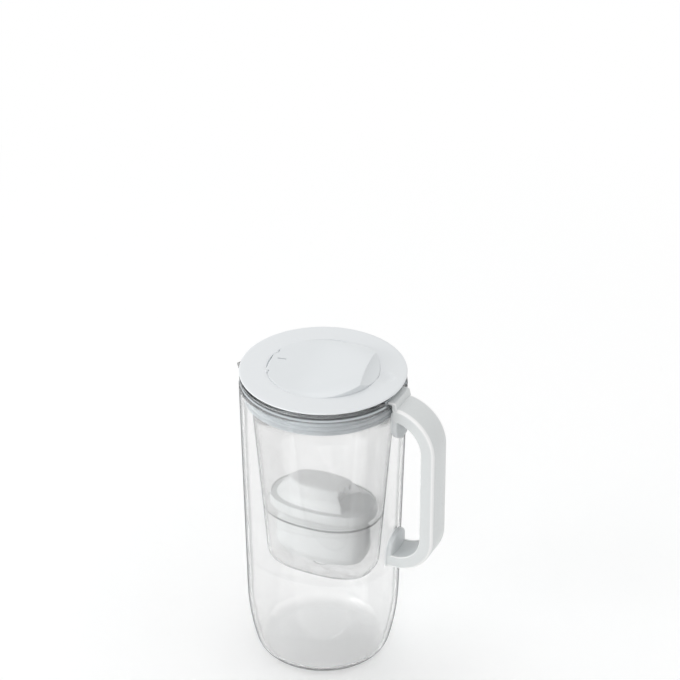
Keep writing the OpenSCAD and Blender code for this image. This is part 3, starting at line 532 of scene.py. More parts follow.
bm = bmesh.new()
sweep(bm, plate_section, 1.2)
pad(bm, JUG_H - 20, half, round_up=-1)
pad(bm, FOOT_Z + PAD_HALF_H, half, round_up=1)
finger_plate = finish_mesh("handle_finger_plate", bm)
dress(finger_plate, "handle_inner_plate", "jug", handle_inner_abs)

# %% [markdown]
# ## The silicone seal ring
# The ring grips the funnel's band and seals against the glass with three soft lips. Its flange
# lies on the rim, cut back where the handle's tongue is, and the lips stop in front of the
# spout so that water can pass. It is a turned shape, so we skin rings whose radius changes with
# the angle in those two places.

# %% Notch and spout gap of the ring
FLANGE_R, NOTCH_R, NOTCH_HALF, NOTCH_SOFT = 63.5, 59.8, 19.0, 0.35
SPOUT_GAP, GAP_SOFT = 16.0, 1.5
SEAL_TOP, SEAL_BOTTOM, SEAL_BODY, SEAL_LIP, SEAL_BORE = 242.2, 226.9, 59.3, 60.25, 57.3
notch_angle = math.degrees(math.asin(NOTCH_HALF / FLANGE_R))
notch_edges = [side * (notch_angle + d) for side in BOTH for d in (-0.9, -NOTCH_SOFT, 0.0, NOTCH_SOFT, 1.2)]
gap_edges = [side * (180 - a) for side in BOTH for a in (14.6, 15.4, 16.2)]
ring_angles = turns(2.0, notch_edges + gap_edges)

def within(value):
    return min(max(value, 0), 1)

def notched(r, z, angles, lips=True):
    """A ring that draws in at the handle above the rim, and at the spout below it."""
    ring = []
    for t in angles:
        radius = r
        if r > NOTCH_R and z > JUG_H - 0.05:
            into = within((notch_angle + NOTCH_SOFT - abs(t)) / (2 * NOTCH_SOFT))
            radius = r + (NOTCH_R - (FLANGE_R - r) * 0.3 - r) * into
        if lips and r > SEAL_BODY and z < JUG_H:
            radius = r + (SEAL_BODY - r) * within((abs(t) - 180 + SPOUT_GAP) / GAP_SOFT)
        ring.append((radius * math.cos(math.radians(t)), radius * math.sin(math.radians(t)), z))
    return ring

print("half angle of the notch:", round(notch_angle, 1), "degrees")

# %% Ring of silicone
LIPS, LIP_PITCH = 3, 13.1 / 3.5
seal_section = [(SEAL_BORE, SEAL_BOTTOM + 0.5), (SEAL_BORE + 0.5, SEAL_BOTTOM),
                (SEAL_BODY - 0.5, SEAL_BOTTOM), (SEAL_BODY, SEAL_BOTTOM + 0.4)]
for i in range(LIPS):
    z = SEAL_BOTTOM + LIP_PITCH * (i + 0.5)
    seal_section += [(SEAL_BODY, z - 0.2), (SEAL_BODY + 0.4, z + 0.5), (SEAL_LIP - 0.1, z + 1.2),
                     (SEAL_LIP, z + 1.55), (SEAL_LIP - 0.15, z + 1.9), (SEAL_BODY + 0.2, z + 2.4)]
seal_section += [(SEAL_BODY, JUG_H - 0.9), (SEAL_BODY + 0.3, JUG_H - 0.1), (SEAL_BODY + 0.6, JUG_H + 0.02),
                 (FLANGE_R - 0.6, JUG_H + 0.02), (FLANGE_R - 0.1, JUG_H + 0.35), (FLANGE_R, JUG_H + 0.8),
                 (FLANGE_R, SEAL_TOP - 0.8), (FLANGE_R - 0.2, SEAL_TOP - 0.25), (FLANGE_R - 0.8, SEAL_TOP),
                 (SEAL_BORE + 0.4, SEAL_TOP), (SEAL_BORE, SEAL_TOP - 0.4)]
seal_ring = shell("seal_ring_silicone", [notched(r, z, ring_angles) for r, z in seal_section], loop=True)
dress(seal_ring, "seal_ring", "seal", seal_silicone)

# %% [markdown]
# ## The clear funnel
# The funnel holds tap water while it runs through the cartridge. It starts round, steps in
# under its band and then turns into an oval well. Blending two profiles with a Boolean leaves
# rough seams in clear plastic, where every facet shows, so the round rings and the oval rings
# are mixed point by point and skinned as one wall with an inside and an outside.

# %% From round neck to oval well
FUNNEL_TOP, BAND_R, BORE_R, NECK_R, NECK_Z = 244.7, 57.0, 53.3, 55.0, 226.2
FUNNEL_BOTTOM, FUNNEL_T, FUNNEL_ROUND, FUNNEL_INSET = 75.7, 2.0, 11.0, 8.0
WELL_A, WELL_B, WELL_POWER = 44.6, 28.0, 2.6
WELL_FOOT, FUNNEL_FLOOR = FUNNEL_BOTTOM + FUNNEL_ROUND, FUNNEL_BOTTOM + FUNNEL_T
funnel_angles = turns(1.5, notch_edges)

def well_ring(z, inset):
    """A ring between the round neck and the oval well."""
    share, pull = (NECK_Z - z) / (NECK_Z - WELL_FOOT), 0.0
    if z < WELL_FOOT:
        t = min((WELL_FOOT - z) / FUNNEL_ROUND, 1)
        share, pull = 1.0, FUNNEL_INSET * (1 - math.sqrt(max(1 - t * t, 0)))
    ring = []
    for t in funnel_angles:
        ox, oy = oval_point(WELL_A - inset - pull, WELL_B - inset - pull, t, WELL_POWER)
        cx, cy = [(NECK_R - inset) * f(math.radians(t)) for f in (math.cos, math.sin)]
        ring.append((cx + (ox - cx) * share, cy + (oy - cy) * share, z))
    return ring

print("well:", 2 * WELL_A, "x", 2 * WELL_B, "mm")

# %% Outer face of the funnel, from its outlet up to its flange
TUBE_OUT, TUBE_IN, TUBE_TOP = 8.5, 6.5, FUNNEL_FLOOR + 18
above_foot = [WELL_FOOT + up for up in (0, 12, 30, 55, 80, 105, 125)]
rings = circles([(TUBE_IN, FUNNEL_BOTTOM), (12, FUNNEL_BOTTOM)], funnel_angles)
rings += [well_ring(FUNNEL_BOTTOM + up, 0) for up in (0.0, 0.4, 1.4, 3.0, 5.4, 8.0)]
rings += [well_ring(z, 0) for z in above_foot]
rings += circles([(NECK_R, NECK_Z - 0.8), (NECK_R + 0.1, NECK_Z - 0.2), (NECK_R + 0.6, NECK_Z),
                  (BAND_R - 0.7, NECK_Z), (BAND_R - 0.15, NECK_Z + 0.2), (BAND_R, NECK_Z + 0.8),
                  (BAND_R, SEAL_TOP - 4), (BAND_R, SEAL_TOP - 0.1)], funnel_angles)
flange = [(BAND_R + 0.2, SEAL_TOP + 0.02), (FLANGE_R - 0.5, SEAL_TOP + 0.02),
          (FLANGE_R - 0.1, SEAL_TOP + 0.35), (FLANGE_R, SEAL_TOP + 0.8), (FLANGE_R, FUNNEL_TOP - 0.8),
          (FLANGE_R - 0.15, FUNNEL_TOP - 0.3), (FLANGE_R - 0.7, FUNNEL_TOP)]
rings += [notched(r, z, funnel_angles, lips=False) for r, z in flange]
print("outer face:", len(rings), "rings")

# %% Inner face of the funnel, from its bore down to the outlet tube
rings += circles([(BORE_R + 0.8, FUNNEL_TOP), (BORE_R + 0.15, FUNNEL_TOP - 0.3), (BORE_R, FUNNEL_TOP - 1),
                  (BORE_R, NECK_Z + 2.8), (BORE_R - 0.3, NECK_Z + 2.1), (BORE_R - 0.8, NECK_Z + 1.4)],
                 funnel_angles)
rings += [well_ring(z, FUNNEL_T) for z in above_foot[::-1]]
rings += [well_ring(FUNNEL_FLOOR + up, FUNNEL_T) for up in (6.0, 3.4, 1.6, 0.5, 0.0)]
rings += circles([(TUBE_OUT + 1.2, FUNNEL_FLOOR), (TUBE_OUT + 0.2, FUNNEL_FLOOR + 0.4),
                  (TUBE_OUT, FUNNEL_FLOOR + 1.4), (TUBE_OUT, TUBE_TOP - 0.4), (TUBE_OUT - 0.4, TUBE_TOP),
                  (TUBE_IN + 0.4, TUBE_TOP), (TUBE_IN, TUBE_TOP - 0.4)], funnel_angles)
print("outer and inner face:", len(rings), "rings")
bm = bmesh.new()
skin(bm, rings, loop=True)

# %% The shelf inside the well that the cartridge's rim rests on
SHELF_TOP, SHELF_A, SHELF_B, OVAL_POWER = 128.0, 38.6, 22.0, 2.4

def oval(a, b, z, angles):
    return [(*oval_point(a, b, t, OVAL_POWER), z) for t in angles]

shelf_bottom = SHELF_TOP - FUNNEL_T
skin(bm, [well_ring(SHELF_TOP, FUNNEL_T - 0.3), well_ring(shelf_bottom, FUNNEL_T - 0.3),
          oval(SHELF_A, SHELF_B, shelf_bottom, funnel_angles),
          oval(SHELF_A, SHELF_B, SHELF_TOP - 0.3, funnel_angles),
          oval(SHELF_A + 0.3, SHELF_B + 0.3, SHELF_TOP, funnel_angles)], loop=True)
funnel = finish_mesh("funnel_clear_moulded", bm, 45)
dress(funnel, "funnel", "hopper", funnel_clear)

# %% [markdown]
# ## The filter cartridge
# The cartridge is a polypropylene tub with a rim, and a cap welded into it. The cap's hump ends
# in a round thumb scoop whose wall lets water in. A Boolean would cut that scoop, but it leaves
# long thin faces. Here each ring of the hump is the line that stays when a round bite is taken
# from an oval, found by looking out from one point inside, so the faces stay even.

# %% The tub
CART_A, CART_B, CART_BOTTOM, RIM_TOP, RIM_H, RIM_OUT = 38.0, 21.4, 85.0, 134.0, 6.0, 5.0
LIP_W, LIP_H = 1.1, 2.4
POCKET_R, POCKET_TOP, POCKET_ROOF = 9.5, 96.7, 98.4
tub_angles = turns(3.0)
rim_low, lip_top = RIM_TOP - RIM_H, RIM_TOP + LIP_H
lip_in = LIP_W - RIM_OUT

def tub(*outline):
    """Ovals from pairs: how far inside the tub's own oval, and how high."""
    return [oval(CART_A - inset, CART_B - inset, z, tub_angles) for inset, z in outline]

# The pocket takes the funnel's outlet tube. Then the line goes down, out, up, over and back in.
tub_rings = circles([(0, POCKET_TOP), (POCKET_R - 0.4, POCKET_TOP), (POCKET_R, POCKET_TOP - 0.5),
                     (POCKET_R, CART_BOTTOM + 0.5), (POCKET_R + 0.5, CART_BOTTOM)], tub_angles)
tub_rings += tub((8, CART_BOTTOM), (5.6, CART_BOTTOM + 0.1), (4.6, CART_BOTTOM + 0.6),
                 (3.8, CART_BOTTOM + 1.6), (1.1, CART_BOTTOM + 6.3), (0.4, CART_BOTTOM + 8.0),
                 (0.1, CART_BOTTOM + 9.6), (0, CART_BOTTOM + 11.5), (0, 104), (0, 115),
                 (0, rim_low - 0.4), (-0.3, rim_low))
tub_rings += tub((0.6 - RIM_OUT, rim_low), (0.1 - RIM_OUT, rim_low + 0.3), (-RIM_OUT, rim_low + 0.9),
                 (-RIM_OUT, lip_top - 0.5), (0.15 - RIM_OUT, lip_top - 0.12), (0.5 - RIM_OUT, lip_top),
                 (lip_in - 0.15, lip_top - 0.1), (lip_in, lip_top - 0.5), (lip_in, RIM_TOP), (1.6, RIM_TOP))
tub_rings += tub((1.7, CART_BOTTOM + 9.6), (6.2, CART_BOTTOM + 1.8))
tub_rings += circles([(11, CART_BOTTOM + 1.8), (11, POCKET_ROOF), (0, POCKET_ROOF)], tub_angles)
dress(shell("cartridge_tub", tub_rings), "cartridge_housing", "cartridge", cartridge_pp)

# %% Looking out from an eye point to the cap's edge
SCOOP_R, SCOOP_X, EYE_X, HALVINGS = 21.0, 36.0, -8.0, 40
cap_angles = turns(3.0, [side * a for side in BOTH for a in (20, 24, 28, 32, 36, 40, 43)])

def reach(a, b, turn, bite):
    """Distance from the eye to an oval's edge, or to the bite's near side."""
    c, s = math.cos(turn), math.sin(turn)
    near, far = 0.0, a + b
    for _ in range(HALVINGS):
        mid = (near + far) / 2
        inside = abs((EYE_X + mid * c) / a) ** OVAL_POWER + abs(mid * s / b) ** OVAL_POWER < 1
        near, far = (mid, far) if inside else (near, mid)
    if bite > 0:
        gap = SCOOP_X - EYE_X
        room = bite * bite - (gap * s) ** 2
        if c > 0 and room > 0:
            near = min(near, gap * c - math.sqrt(room))
    return near

def bitten(inset, inset_b, z, bite):
    ring = []
    for t in cap_angles:
        turn = math.radians(t)
        d = reach(CART_A - inset, CART_B - inset_b, turn, bite)
        ring.append((EYE_X + d * math.cos(turn), d * math.sin(turn), z))
    return ring

print("the bite leaves", round(reach(CART_A, CART_B, 0, SCOOP_R), 1), "mm from the eye point")

# %% The cap with its hump
DECK_T, HUMP_H = 1.6, 14.4
cap_floor, deck = RIM_TOP + 0.03, RIM_TOP + DECK_T
# Each line: how far the ring lies inside the body's oval along X and Y, its height over the
# deck, and how much wider the bite is there.
hump = [(0.1, 0.1, 0.0, -0.9), (0.25, 0.25, 0.12, -0.3), (0.5, 0.45, 0.7, 0), (2.3, 1.6, 3.2, 0),
        (4.6, 3.2, 6.4, 0), (7.0, 4.9, 8.9, 0), (9.6, 6.7, 11.4, 0), (11.4, 8.0, 13.0, 0.1),
        (12.8, 9.0, 13.8, 0.4), (14.8, 10.6, 14.2, 1.2), (18.5, 13.0, 14.34, 3), (25, 17.0, 14.38, 7)]
cap_edge = lip_in + 0.3
edge_lines = [(cap_edge, cap_floor), (cap_edge, deck - 0.2), (cap_edge + 0.2, deck)]
cap_rings = [[(EYE_X, 0, cap_floor)]] + [bitten(inset, inset, z, 0) for inset, z in edge_lines]
cap_rings += [bitten(a, b, deck + up, SCOOP_R + wider) for a, b, up, wider in hump]
cap_rings.append([(EYE_X, 0, deck + HUMP_H)])
cap = shell("cartridge_cap_welded", cap_rings, sharp_degrees=42)

# %% [markdown]
# ## The lid
# The lid is a shallow dome with a round recess for the flap, an opening to fill the jug
# through, and a skirt, clips and a socket below. Its outline is turned except for the opening,
# which is a circle with one straight side. Seen from the middle each direction meets that
# outline once, so rings can follow it too. The dish for a finger and the window over the light
# are then cut with a Boolean, which suits a few clean cuts in thick plastic.

# %% Plate of the lid
SEAT, LID_R, EDGE_H, DOME_RISE = 244.7, 63.8, 3.8, 1.5
FLAP_R, LEDGE_R, OPEN_X, LID_TURN = 43.0, 38.0, -13.0, 10.0

def dome(x):
    return SEAT + EDGE_H + DOME_RISE * (1 - (x / LID_R) ** 2)

corner_angle = math.degrees(math.acos(OPEN_X / LEDGE_R))
lid_angles = turns(2.5, [side * (corner_angle + d) for side in BOTH for d in (-0.8, 0, 0.8)])

def turn_with_lid(piece):
    """The lid and all it carries are built square on, then turned a little on the funnel."""
    piece.data.transform(Matrix.Rotation(math.radians(LID_TURN), 4, "Z"))

def opening(grow, z):
    """The fill opening: a circle with a straight side towards the spout."""
    ring = []
    for t in lid_angles:
        c = math.cos(math.radians(t))
        r = LEDGE_R + grow
        if c < 0:
            r = min(r, (OPEN_X - grow) / c)
        ring.append((r * c, r * math.sin(math.radians(t)), z))
    return ring

print("middle of the dome:", round(dome(0), 1), "mm up")

# %% Rings of the lid
ledge, under = SEAT + 3.0, SEAT + 1.6
recess_r, recess_top = FLAP_R + 0.12, dome(FLAP_R + 1)
SKIRT_IN, SKIRT_OUT, SKIRT_LOW = 51.0, 53.0, SEAT - 5.5
lid_rings = circles([(r, dome(r)) for r in (62.2, 60.5, 58, 55, 52, 49, 46.5)], lid_angles)
lid_rings += circles([(recess_r + 0.3, recess_top), (recess_r + 0.08, recess_top - 0.05),
                      (recess_r, recess_top - 0.2), (recess_r, ledge)], lid_angles)
lid_rings += [opening(3.4, ledge), opening(0.3, ledge), opening(0, ledge - 0.3),
              opening(0, under + 0.2), opening(0.3, under), opening(9, under)]
# From the relief down the skirt, out over the seat and up round the thin edge.
lid_rings += circles([(SKIRT_IN, under), (SKIRT_IN, SKIRT_LOW + 0.4), (SKIRT_IN + 0.25, SKIRT_LOW + 0.05),
                      (SKIRT_OUT - 0.4, SKIRT_LOW), (SKIRT_OUT, SKIRT_LOW + 0.4), (SKIRT_OUT, SEAT - 0.1),
                      (SKIRT_OUT + 0.1, SEAT), (58.7, SEAT), (59.2, SEAT + 0.1), (62.6, SEAT + 2.1),
                      (63.2, SEAT + 2.35), (63.62, SEAT + 2.6), (LID_R, SEAT + 3.0), (63.66, SEAT + 3.4),
                      (63.3, SEAT + 3.66), (62.8, SEAT + EDGE_H)], lid_angles)
lid = shell("lid_domed_disc", lid_rings, loop=True)

# %% Cut the dish and the window
DISH_X, DISH_R, DISH_DEPTH, DISH_FROM, DISH_TO = FLAP_R + 6, 20.0, 1.6, -90, -52
WINDOW_X, WINDOW_R, WINDOW_LOW, WINDOW_H = -32.6, 4.8, SEAT - 2, 12

def cutter(name, outline, place):
    tool = revolve(name, outline, turns(6.0))
    shift(tool, place)
    return tool

def cut(piece, tool):
    modifier = piece.modifiers.new("cut", "BOOLEAN")
    modifier.operation, modifier.solver, modifier.object = "DIFFERENCE", "EXACT", tool
    made = bpy.data.meshes.new_from_object(piece.evaluated_get(bpy.context.evaluated_depsgraph_get()))
    piece.modifiers.remove(modifier)
    piece.data = made
    bpy.data.objects.remove(tool)
    made.shade_smooth()
    made.set_sharp_from_angle(angle=math.radians(SHARP_AFTER_CUT))

bowl = arc(0, 0, DISH_R, DISH_FROM, DISH_TO, 12)
bowl.append((0, bowl[-1][1]))
cut(lid, cutter("dish_tool", bowl, (DISH_X, 0, dome(DISH_X) + DISH_R - DISH_DEPTH)))
cut(lid, cutter("window_tool", [(0, 0), (WINDOW_R, 0), (WINDOW_R, WINDOW_H), (0, WINDOW_H)],
                (WINDOW_X, 0, WINDOW_LOW)))
print("lid after its cuts:", len(lid.data.polygons), "faces")

# %% [markdown]
# ## Blocks round a circle
# Clips under the lid and inlet slots in the cap are the same block, repeated round a circle.
# That is what Geometry Nodes are for: one tree places copies on computed points, and its named
# inputs say how many, how far out and how big. The result is made a plain mesh at once, because
# instances are lost when the model is exported.

# %% A tree that repeats a block
def block_tree(material):
    tree = bpy.data.node_groups.new("blocks_round_a_circle", "GeometryNodeTree")
    for label, kind, value in [("Count", "NodeSocketInt", 4), ("Radius", "NodeSocketFloat", 0.05),
                               ("Start", "NodeSocketFloat", 0.0), ("Step", "NodeSocketFloat", 1.0),
                               ("Size", "NodeSocketVector", (0.01, 0.01, 0.01)),
                               ("Centre", "NodeSocketVector", (0.0, 0.0, 0.0))]:
        tree.interface.new_socket(label, in_out="INPUT", socket_type=kind).default_value = value
    tree.interface.new_socket("Mesh", in_out="OUTPUT", socket_type="NodeSocketGeometry")
    given = add(tree, "NodeGroupInput").outputs
    index = add(tree, "GeometryNodeInputIndex")
    turn = add(tree, "ShaderNodeMath", {0: index, 1: given["Step"], 2: given["Start"]},
               operation="MULTIPLY_ADD")
    cosine = add(tree, "ShaderNodeMath", {0: turn}, operation="COSINE")
    sine = add(tree, "ShaderNodeMath", {0: turn}, operation="SINE")
    direction = add(tree, "ShaderNodeCombineXYZ", {0: cosine, 1: sine})
    place = add(tree, "ShaderNodeVectorMath", {0: direction, 3: given["Radius"]}, operation="SCALE")
    spot = add(tree, "ShaderNodeVectorMath", {0: place, 1: given["Centre"]}, operation="ADD")
    points = add(tree, "GeometryNodePoints", {"Count": given["Count"], "Position": spot})
    block = add(tree, "GeometryNodeMeshCube", {"Size": given["Size"], "Vertices X": 2,
                                               "Vertices Y": 5, "Vertices Z": 5})
    angles = add(tree, "ShaderNodeCombineXYZ", {2: turn})
    copies = add(tree, "GeometryNodeInstanceOnPoints", {"Points": points, "Instance": block,
                                                        "Rotation": angles})
    real = add(tree, "GeometryNodeRealizeInstances", {0: copies})
    dressed = add(tree, "GeometryNodeSetMaterial", {"Geometry": real, "Material": material})
    add(tree, "NodeGroupOutput", {0: dressed})
    return tree

# %% Copies made plain
def blocks(name, material, count, radius, start, step, size, centre, edge=0.0):
    """Blocks as a plain mesh; lengths in mm, angles in degrees."""
    tree = block_tree(material)
    piece = bpy.data.objects.new(name, bpy.data.meshes.new(name))
    bpy.context.scene.collection.objects.link(piece)
    modifier = piece.modifiers.new("blocks", "NODES")
    modifier.node_group = tree
    values = {"Count": count, "Radius": radius * MM, "Start": math.radians(start),
              "Step": math.radians(step), "Size": [v * MM for v in size],
              "Centre": [v * MM for v in centre]}
    for socket in tree.interface.items_tree:
        if socket.in_out == "INPUT":
            modifier[socket.identifier] = values[socket.name]
    if edge:
        rounding = piece.modifiers.new("edges", "BEVEL")
        rounding.width, rounding.segments, rounding.limit_method = edge * MM, 2, "ANGLE"
    mesh = bpy.data.meshes.new_from_object(piece.evaluated_get(bpy.context.evaluated_depsgraph_get()))
    piece.modifiers.clear()
    piece.data = mesh
    print(f"{name}: {count} blocks, {len(mesh.polygons)} faces")
    return piece

def join(target, *others):
    bm = bmesh.new()
    for piece in (target, *others):
        bm.from_mesh(piece.data)
    bm.to_mesh(target.data)
    bm.free()
    for piece in others:
        bpy.data.objects.remove(piece)
    target.data.set_sharp_from_angle(angle=math.radians(SHARP_AFTER_CUT))

# %% Inlet slots in the cap
SLOTS, SLOT_FROM, SLOT_STEP, SLOT_SIZE, SLOT_UP = 5, 150, 15, (4.0, 2.2, 4.8), 6.0
cut(cap, blocks("inlet_slots", cap_pp, SLOTS, SCOOP_R + 0.4, SLOT_FROM, SLOT_STEP, SLOT_SIZE,
                (SCOOP_X, 0, deck + SLOT_UP)))
dress(cap, "cartridge_cap", "cartridge", cap_pp)

# %% Clips and socket of the lid
INDICATOR_X, SOCKET_R, SOCKET_WALL, SOCKET_LOW = -32.5, 14.7, 1.9, SEAT - 6
CLIPS, CLIP_R, CLIP_FROM, CLIP_LOW, CLIP_SIZE = 4, 51.7, -6 - LID_TURN, SEAT - 12.5, (2.0, 11.5, 14.1)
clips = blocks("lid_clips", lid_abs, CLIPS, CLIP_R, CLIP_FROM, 360 / CLIPS, CLIP_SIZE,
               (0, 0, CLIP_LOW + CLIP_SIZE[2] / 2), edge=0.5)
socket_out, socket_top = SOCKET_R + SOCKET_WALL, under + 0.2
socket_line = rounded([(SOCKET_R, SOCKET_LOW), (socket_out, SOCKET_LOW), (socket_out, socket_top),
                       (SOCKET_R, socket_top)], [0.4, 0.5, 0, 0])
socket = revolve("light_socket", socket_line, turns(5.0))
shift(socket, (INDICATOR_X, 0, 0))

# %% Hinge lugs of the lid
HINGE_X, HINGE_Z, NOSE_R, NOSE_HALF = -40.5, 248.0956, 1.6, 13.0
LUG_GAP, LUG_W, BOSS_HALF, BAR_EDGE, BAR_END = 0.4, 3.0, 3.0, 0.25, 0.9

def bar(bm, outline, y_from, y_to):
    """A bar along Y from a side outline, with its ends drawn in a little."""
    cx, cz = [sum(point[k] for point in outline) / len(outline) for k in range(2)]
    def ring(y, grow):
        return [(cx + (x - cx) * grow, y, cz + (z - cz) * grow) for x, z in outline]
    edge = BAR_EDGE if y_to > y_from else -BAR_EDGE
    skin(bm, closed([ring(y_from, BAR_END), ring(y_from + edge, 1),
                     ring(y_to - edge, 1), ring(y_to, BAR_END)]))

lug_line = arc(HINGE_X, HINGE_Z, NOSE_R, 0, 180, 12)
lug_line += [(HINGE_X - NOSE_R, under), (HINGE_X + NOSE_R, under)]
boss_line = [(HINGE_X + x, z) for x, z in ((-BOSS_HALF, SEAT + 0.2), (BOSS_HALF, SEAT + 0.2),
                                           (BOSS_HALF, under), (-BOSS_HALF, under))]
lug_in = NOSE_HALF + LUG_GAP
lug_out = lug_in + LUG_W
bm = bmesh.new()
for side in BOTH:
    bar(bm, lug_line, side * lug_in, side * lug_out)
bar(bm, boss_line, -lug_out, lug_out)
join(lid, clips, socket, finish_mesh("hinge_lugs", bm))
turn_with_lid(lid)
dress(lid, "lid_disc", "lid", lid_abs)

# %% [markdown]
# ## The flip flap
# The flap is a round cover that rises from its hinge to a grip lip, then falls in a hollow
# slope to the lid. Rings round its middle would cut across that lip, so this one is skinned
# from slices along X: each slice is one closed line, over the top and back under, through the
# hollow inside.

# %% Height of the flap's top
LIP_X, LIP_Z, GRIP_R, FLAP_T, SLOPE_X, CROWN_R = 34.0, SEAT + 12.5, 13.4, 2.0, -8.0, 120.0
LEVEL_BLEND, SOFT_MEET = 9.0, 1.2
chord = Vector((FLAP_R - LIP_X, ledge + 1.3 - LIP_Z))
grip = Vector((LIP_X, LIP_Z)) + chord / 2 + Vector((-chord.y, chord.x)) * (
    math.sqrt(GRIP_R ** 2 - (chord.length / 2) ** 2) / chord.length)
climb = (LIP_Z - HINGE_Z - NOSE_R) / (LIP_X - SLOPE_X)

def flap_top(x, y=0.0, drop=0.0):
    """Height of the top face, level at the hinge and rising to the lip under a soft crown."""
    rise = x - SLOPE_X
    if rise < LEVEL_BLEND:
        rise = max(rise + LEVEL_BLEND, 0) ** 2 / (4 * LEVEL_BLEND)
    slope = HINGE_Z + NOSE_R + rise * climb
    crown = LIP_Z - CROWN_R + math.sqrt(CROWN_R ** 2 - y * y)
    top = (slope + crown - math.sqrt((slope - crown) ** 2 + SOFT_MEET)) / 2 - drop
    hollow_r = GRIP_R + drop
    if abs(x - grip.x) < hollow_r:
        top = min(top, grip.y - math.sqrt(hollow_r ** 2 - (x - grip.x) ** 2))
    return top

print("flap at its middle and at its lip:", round(flap_top(0), 1), round(flap_top(LIP_X), 1), "mm up")

# %% Slices of the flap
FLAP_EDGE, EDGE_STEPS = 0.5, 5
relief_x, inner_start = HINGE_X + NOSE_R + 0.4, HINGE_X + 2 * NOSE_R
slice_places = [-37.3, -36.4, -34, -31, -27, -23, -19, -16, -13, -10, -7, -4, -1, 2, 6, 10, 14, 18, 22,
                26, 29, 31, 32.4, 33.2, 33.7, 33.95, 34.1, 34.3, 34.6, 35.1, 35.8, 36.6, 37.5, 38.5,
                39.5, 40.5, 41.3, 41.9, 42.4, 42.75, 42.95]

def slice_at(x, half_w, hollow=True):
    """One closed line round the flap at x: under the roof, down the wall, up its edge and over."""
    inner_w = math.sqrt(max((FLAP_R - FLAP_T) ** 2 - x * x, 0))
    inner_w = min(max(inner_w, 0.02), max(half_w - 0.1, 0.01))
    lowest = ledge + 0.02
    line = []
    for share in (0, 0.2, 0.4, 0.6, 0.8, 1):
        roof = flap_top(x, inner_w * share, FLAP_T) if hollow else lowest
        line.append((inner_w * share, max(roof, lowest)))
    line += [(inner_w, ledge), (half_w, ledge)]
    edge_r = min(FLAP_EDGE, half_w * 0.4)
    line += arc(half_w - edge_r, flap_top(x, half_w) - edge_r, edge_r, 0, 90, EDGE_STEPS)
    line += [(half_w * share, flap_top(x, half_w * share))
             for share in (0.94, 0.84, 0.72, 0.6, 0.48, 0.36, 0.24, 0.12, 0)]
    line += [(-y, z) for y, z in line[1:-1][::-1]]
    return [(x, y, z) for y, z in line]

def half_width(x):
    return math.sqrt(FLAP_R ** 2 - x * x)

slices = [slice_at(x, NOSE_HALF, False) for x in (HINGE_X, relief_x - 0.05)]
slices += [slice_at(x, half_width(x), False) for x in (relief_x, inner_start - 0.1)]
slices += [slice_at(x, half_width(x)) for x in slice_places]
bm = bmesh.new()
skin(bm, closed(slices))
bar(bm, arc(HINGE_X, HINGE_Z, NOSE_R, 0, 345, 23), -NOSE_HALF, NOSE_HALF)
flap = finish_mesh("flip_flap", bm, 30)

# %% Cut the light's slit in the flap
SLIT_X, SLIT_Y, SLIT_HALF_L, SLIT_HALF_W, SLIT_H = INDICATOR_X - 1.2, 5, 3.5, 0.6, 20
slit = rounded([(-SLIT_HALF_L, -SLIT_HALF_W), (SLIT_HALF_L, -SLIT_HALF_W), (SLIT_HALF_L, SLIT_HALF_W),
                (-SLIT_HALF_L, SLIT_HALF_W)], [0.5] * 4)
slit_rings = [[(SLIT_X + x, SLIT_Y + y, z) for x, y in slit] for z in (SEAT, SEAT + SLIT_H)]
cut(flap, shell("slit_tool", closed(slit_rings)))
turn_with_lid(flap)
dress(flap, "flip_flap", "flap", flap_abs)

# %% [markdown]
# ## The light case
# The indicator clips into the socket under the lid and shines through a small window when the
# cartridge is due. It is a turned case with a screwed base, a pale grey bezel and a lit button,
# and turned parts are skinned from one closed line each, then moved beside the axis.

# %% Turned parts of the light case
CASE_R, CASE_TOP, CASE_BOTTOM, CASE_T = 14.4, 243.5, 229.8, 1.6
BEZEL_R, BUTTON_R, TOP_T, BUTTON_SUNK = 6.5, 4.2, 2.0, 0.8

def turned(name, points, radii, node, body, material):
    piece = revolve(name, rounded(points, radii), turns(4.0))
    shift(piece, (INDICATOR_X, 0, 0))
    turn_with_lid(piece)
    dress(piece, node, body, material)

inner_r, roof = CASE_R - CASE_T, CASE_TOP - TOP_T
turned("indicator_case_moulded",
       [(inner_r, CASE_BOTTOM + 0.02), (CASE_R, CASE_BOTTOM + 0.02), (CASE_R, CASE_TOP),
        (BEZEL_R, CASE_TOP), (BEZEL_R, roof), (inner_r, roof)], [0, 0.35, 1.3, 0.5, 0, 0],
       "indicator_case", "indicator", case_abs)

# %% Base, bezel and button
BASE_BOTTOM, PLUG_R = 226.8, 11.5
base_top, plug_top = CASE_BOTTOM - 0.1, CASE_BOTTOM + 1.2
turned("indicator_base_screwed",
       [(0, BASE_BOTTOM), (CASE_R, BASE_BOTTOM), (CASE_R, base_top), (PLUG_R, base_top),
        (PLUG_R, plug_top), (0, plug_top)], [0, 0.9, 0.35, 0, 0.2, 0],
       "indicator_base_cap", "indicator", case_abs)
bezel_in, bezel_out, button_top = BUTTON_R + 0.3, BEZEL_R - 0.02, CASE_TOP - BUTTON_SUNK
turned("indicator_bezel_smoked",
       [(bezel_in, roof), (bezel_out, roof), (bezel_out, button_top), (bezel_in, button_top)],
       [0, 0, 0.2, 0.2], "indicator_bezel", "indicator", bezel_pc)
foot_low, foot_r = roof - 0.8, BUTTON_R + 0.9
foot_top = foot_low + 0.78
turned("light_button_lens",
       [(0, foot_low), (foot_r, foot_low), (foot_r, foot_top), (BUTTON_R, foot_top),
        (BUTTON_R, button_top), (0, button_top)], [0, 0.1, 0.1, 0.1, 0.5, 0],
       "light_button", "button", button_pc)

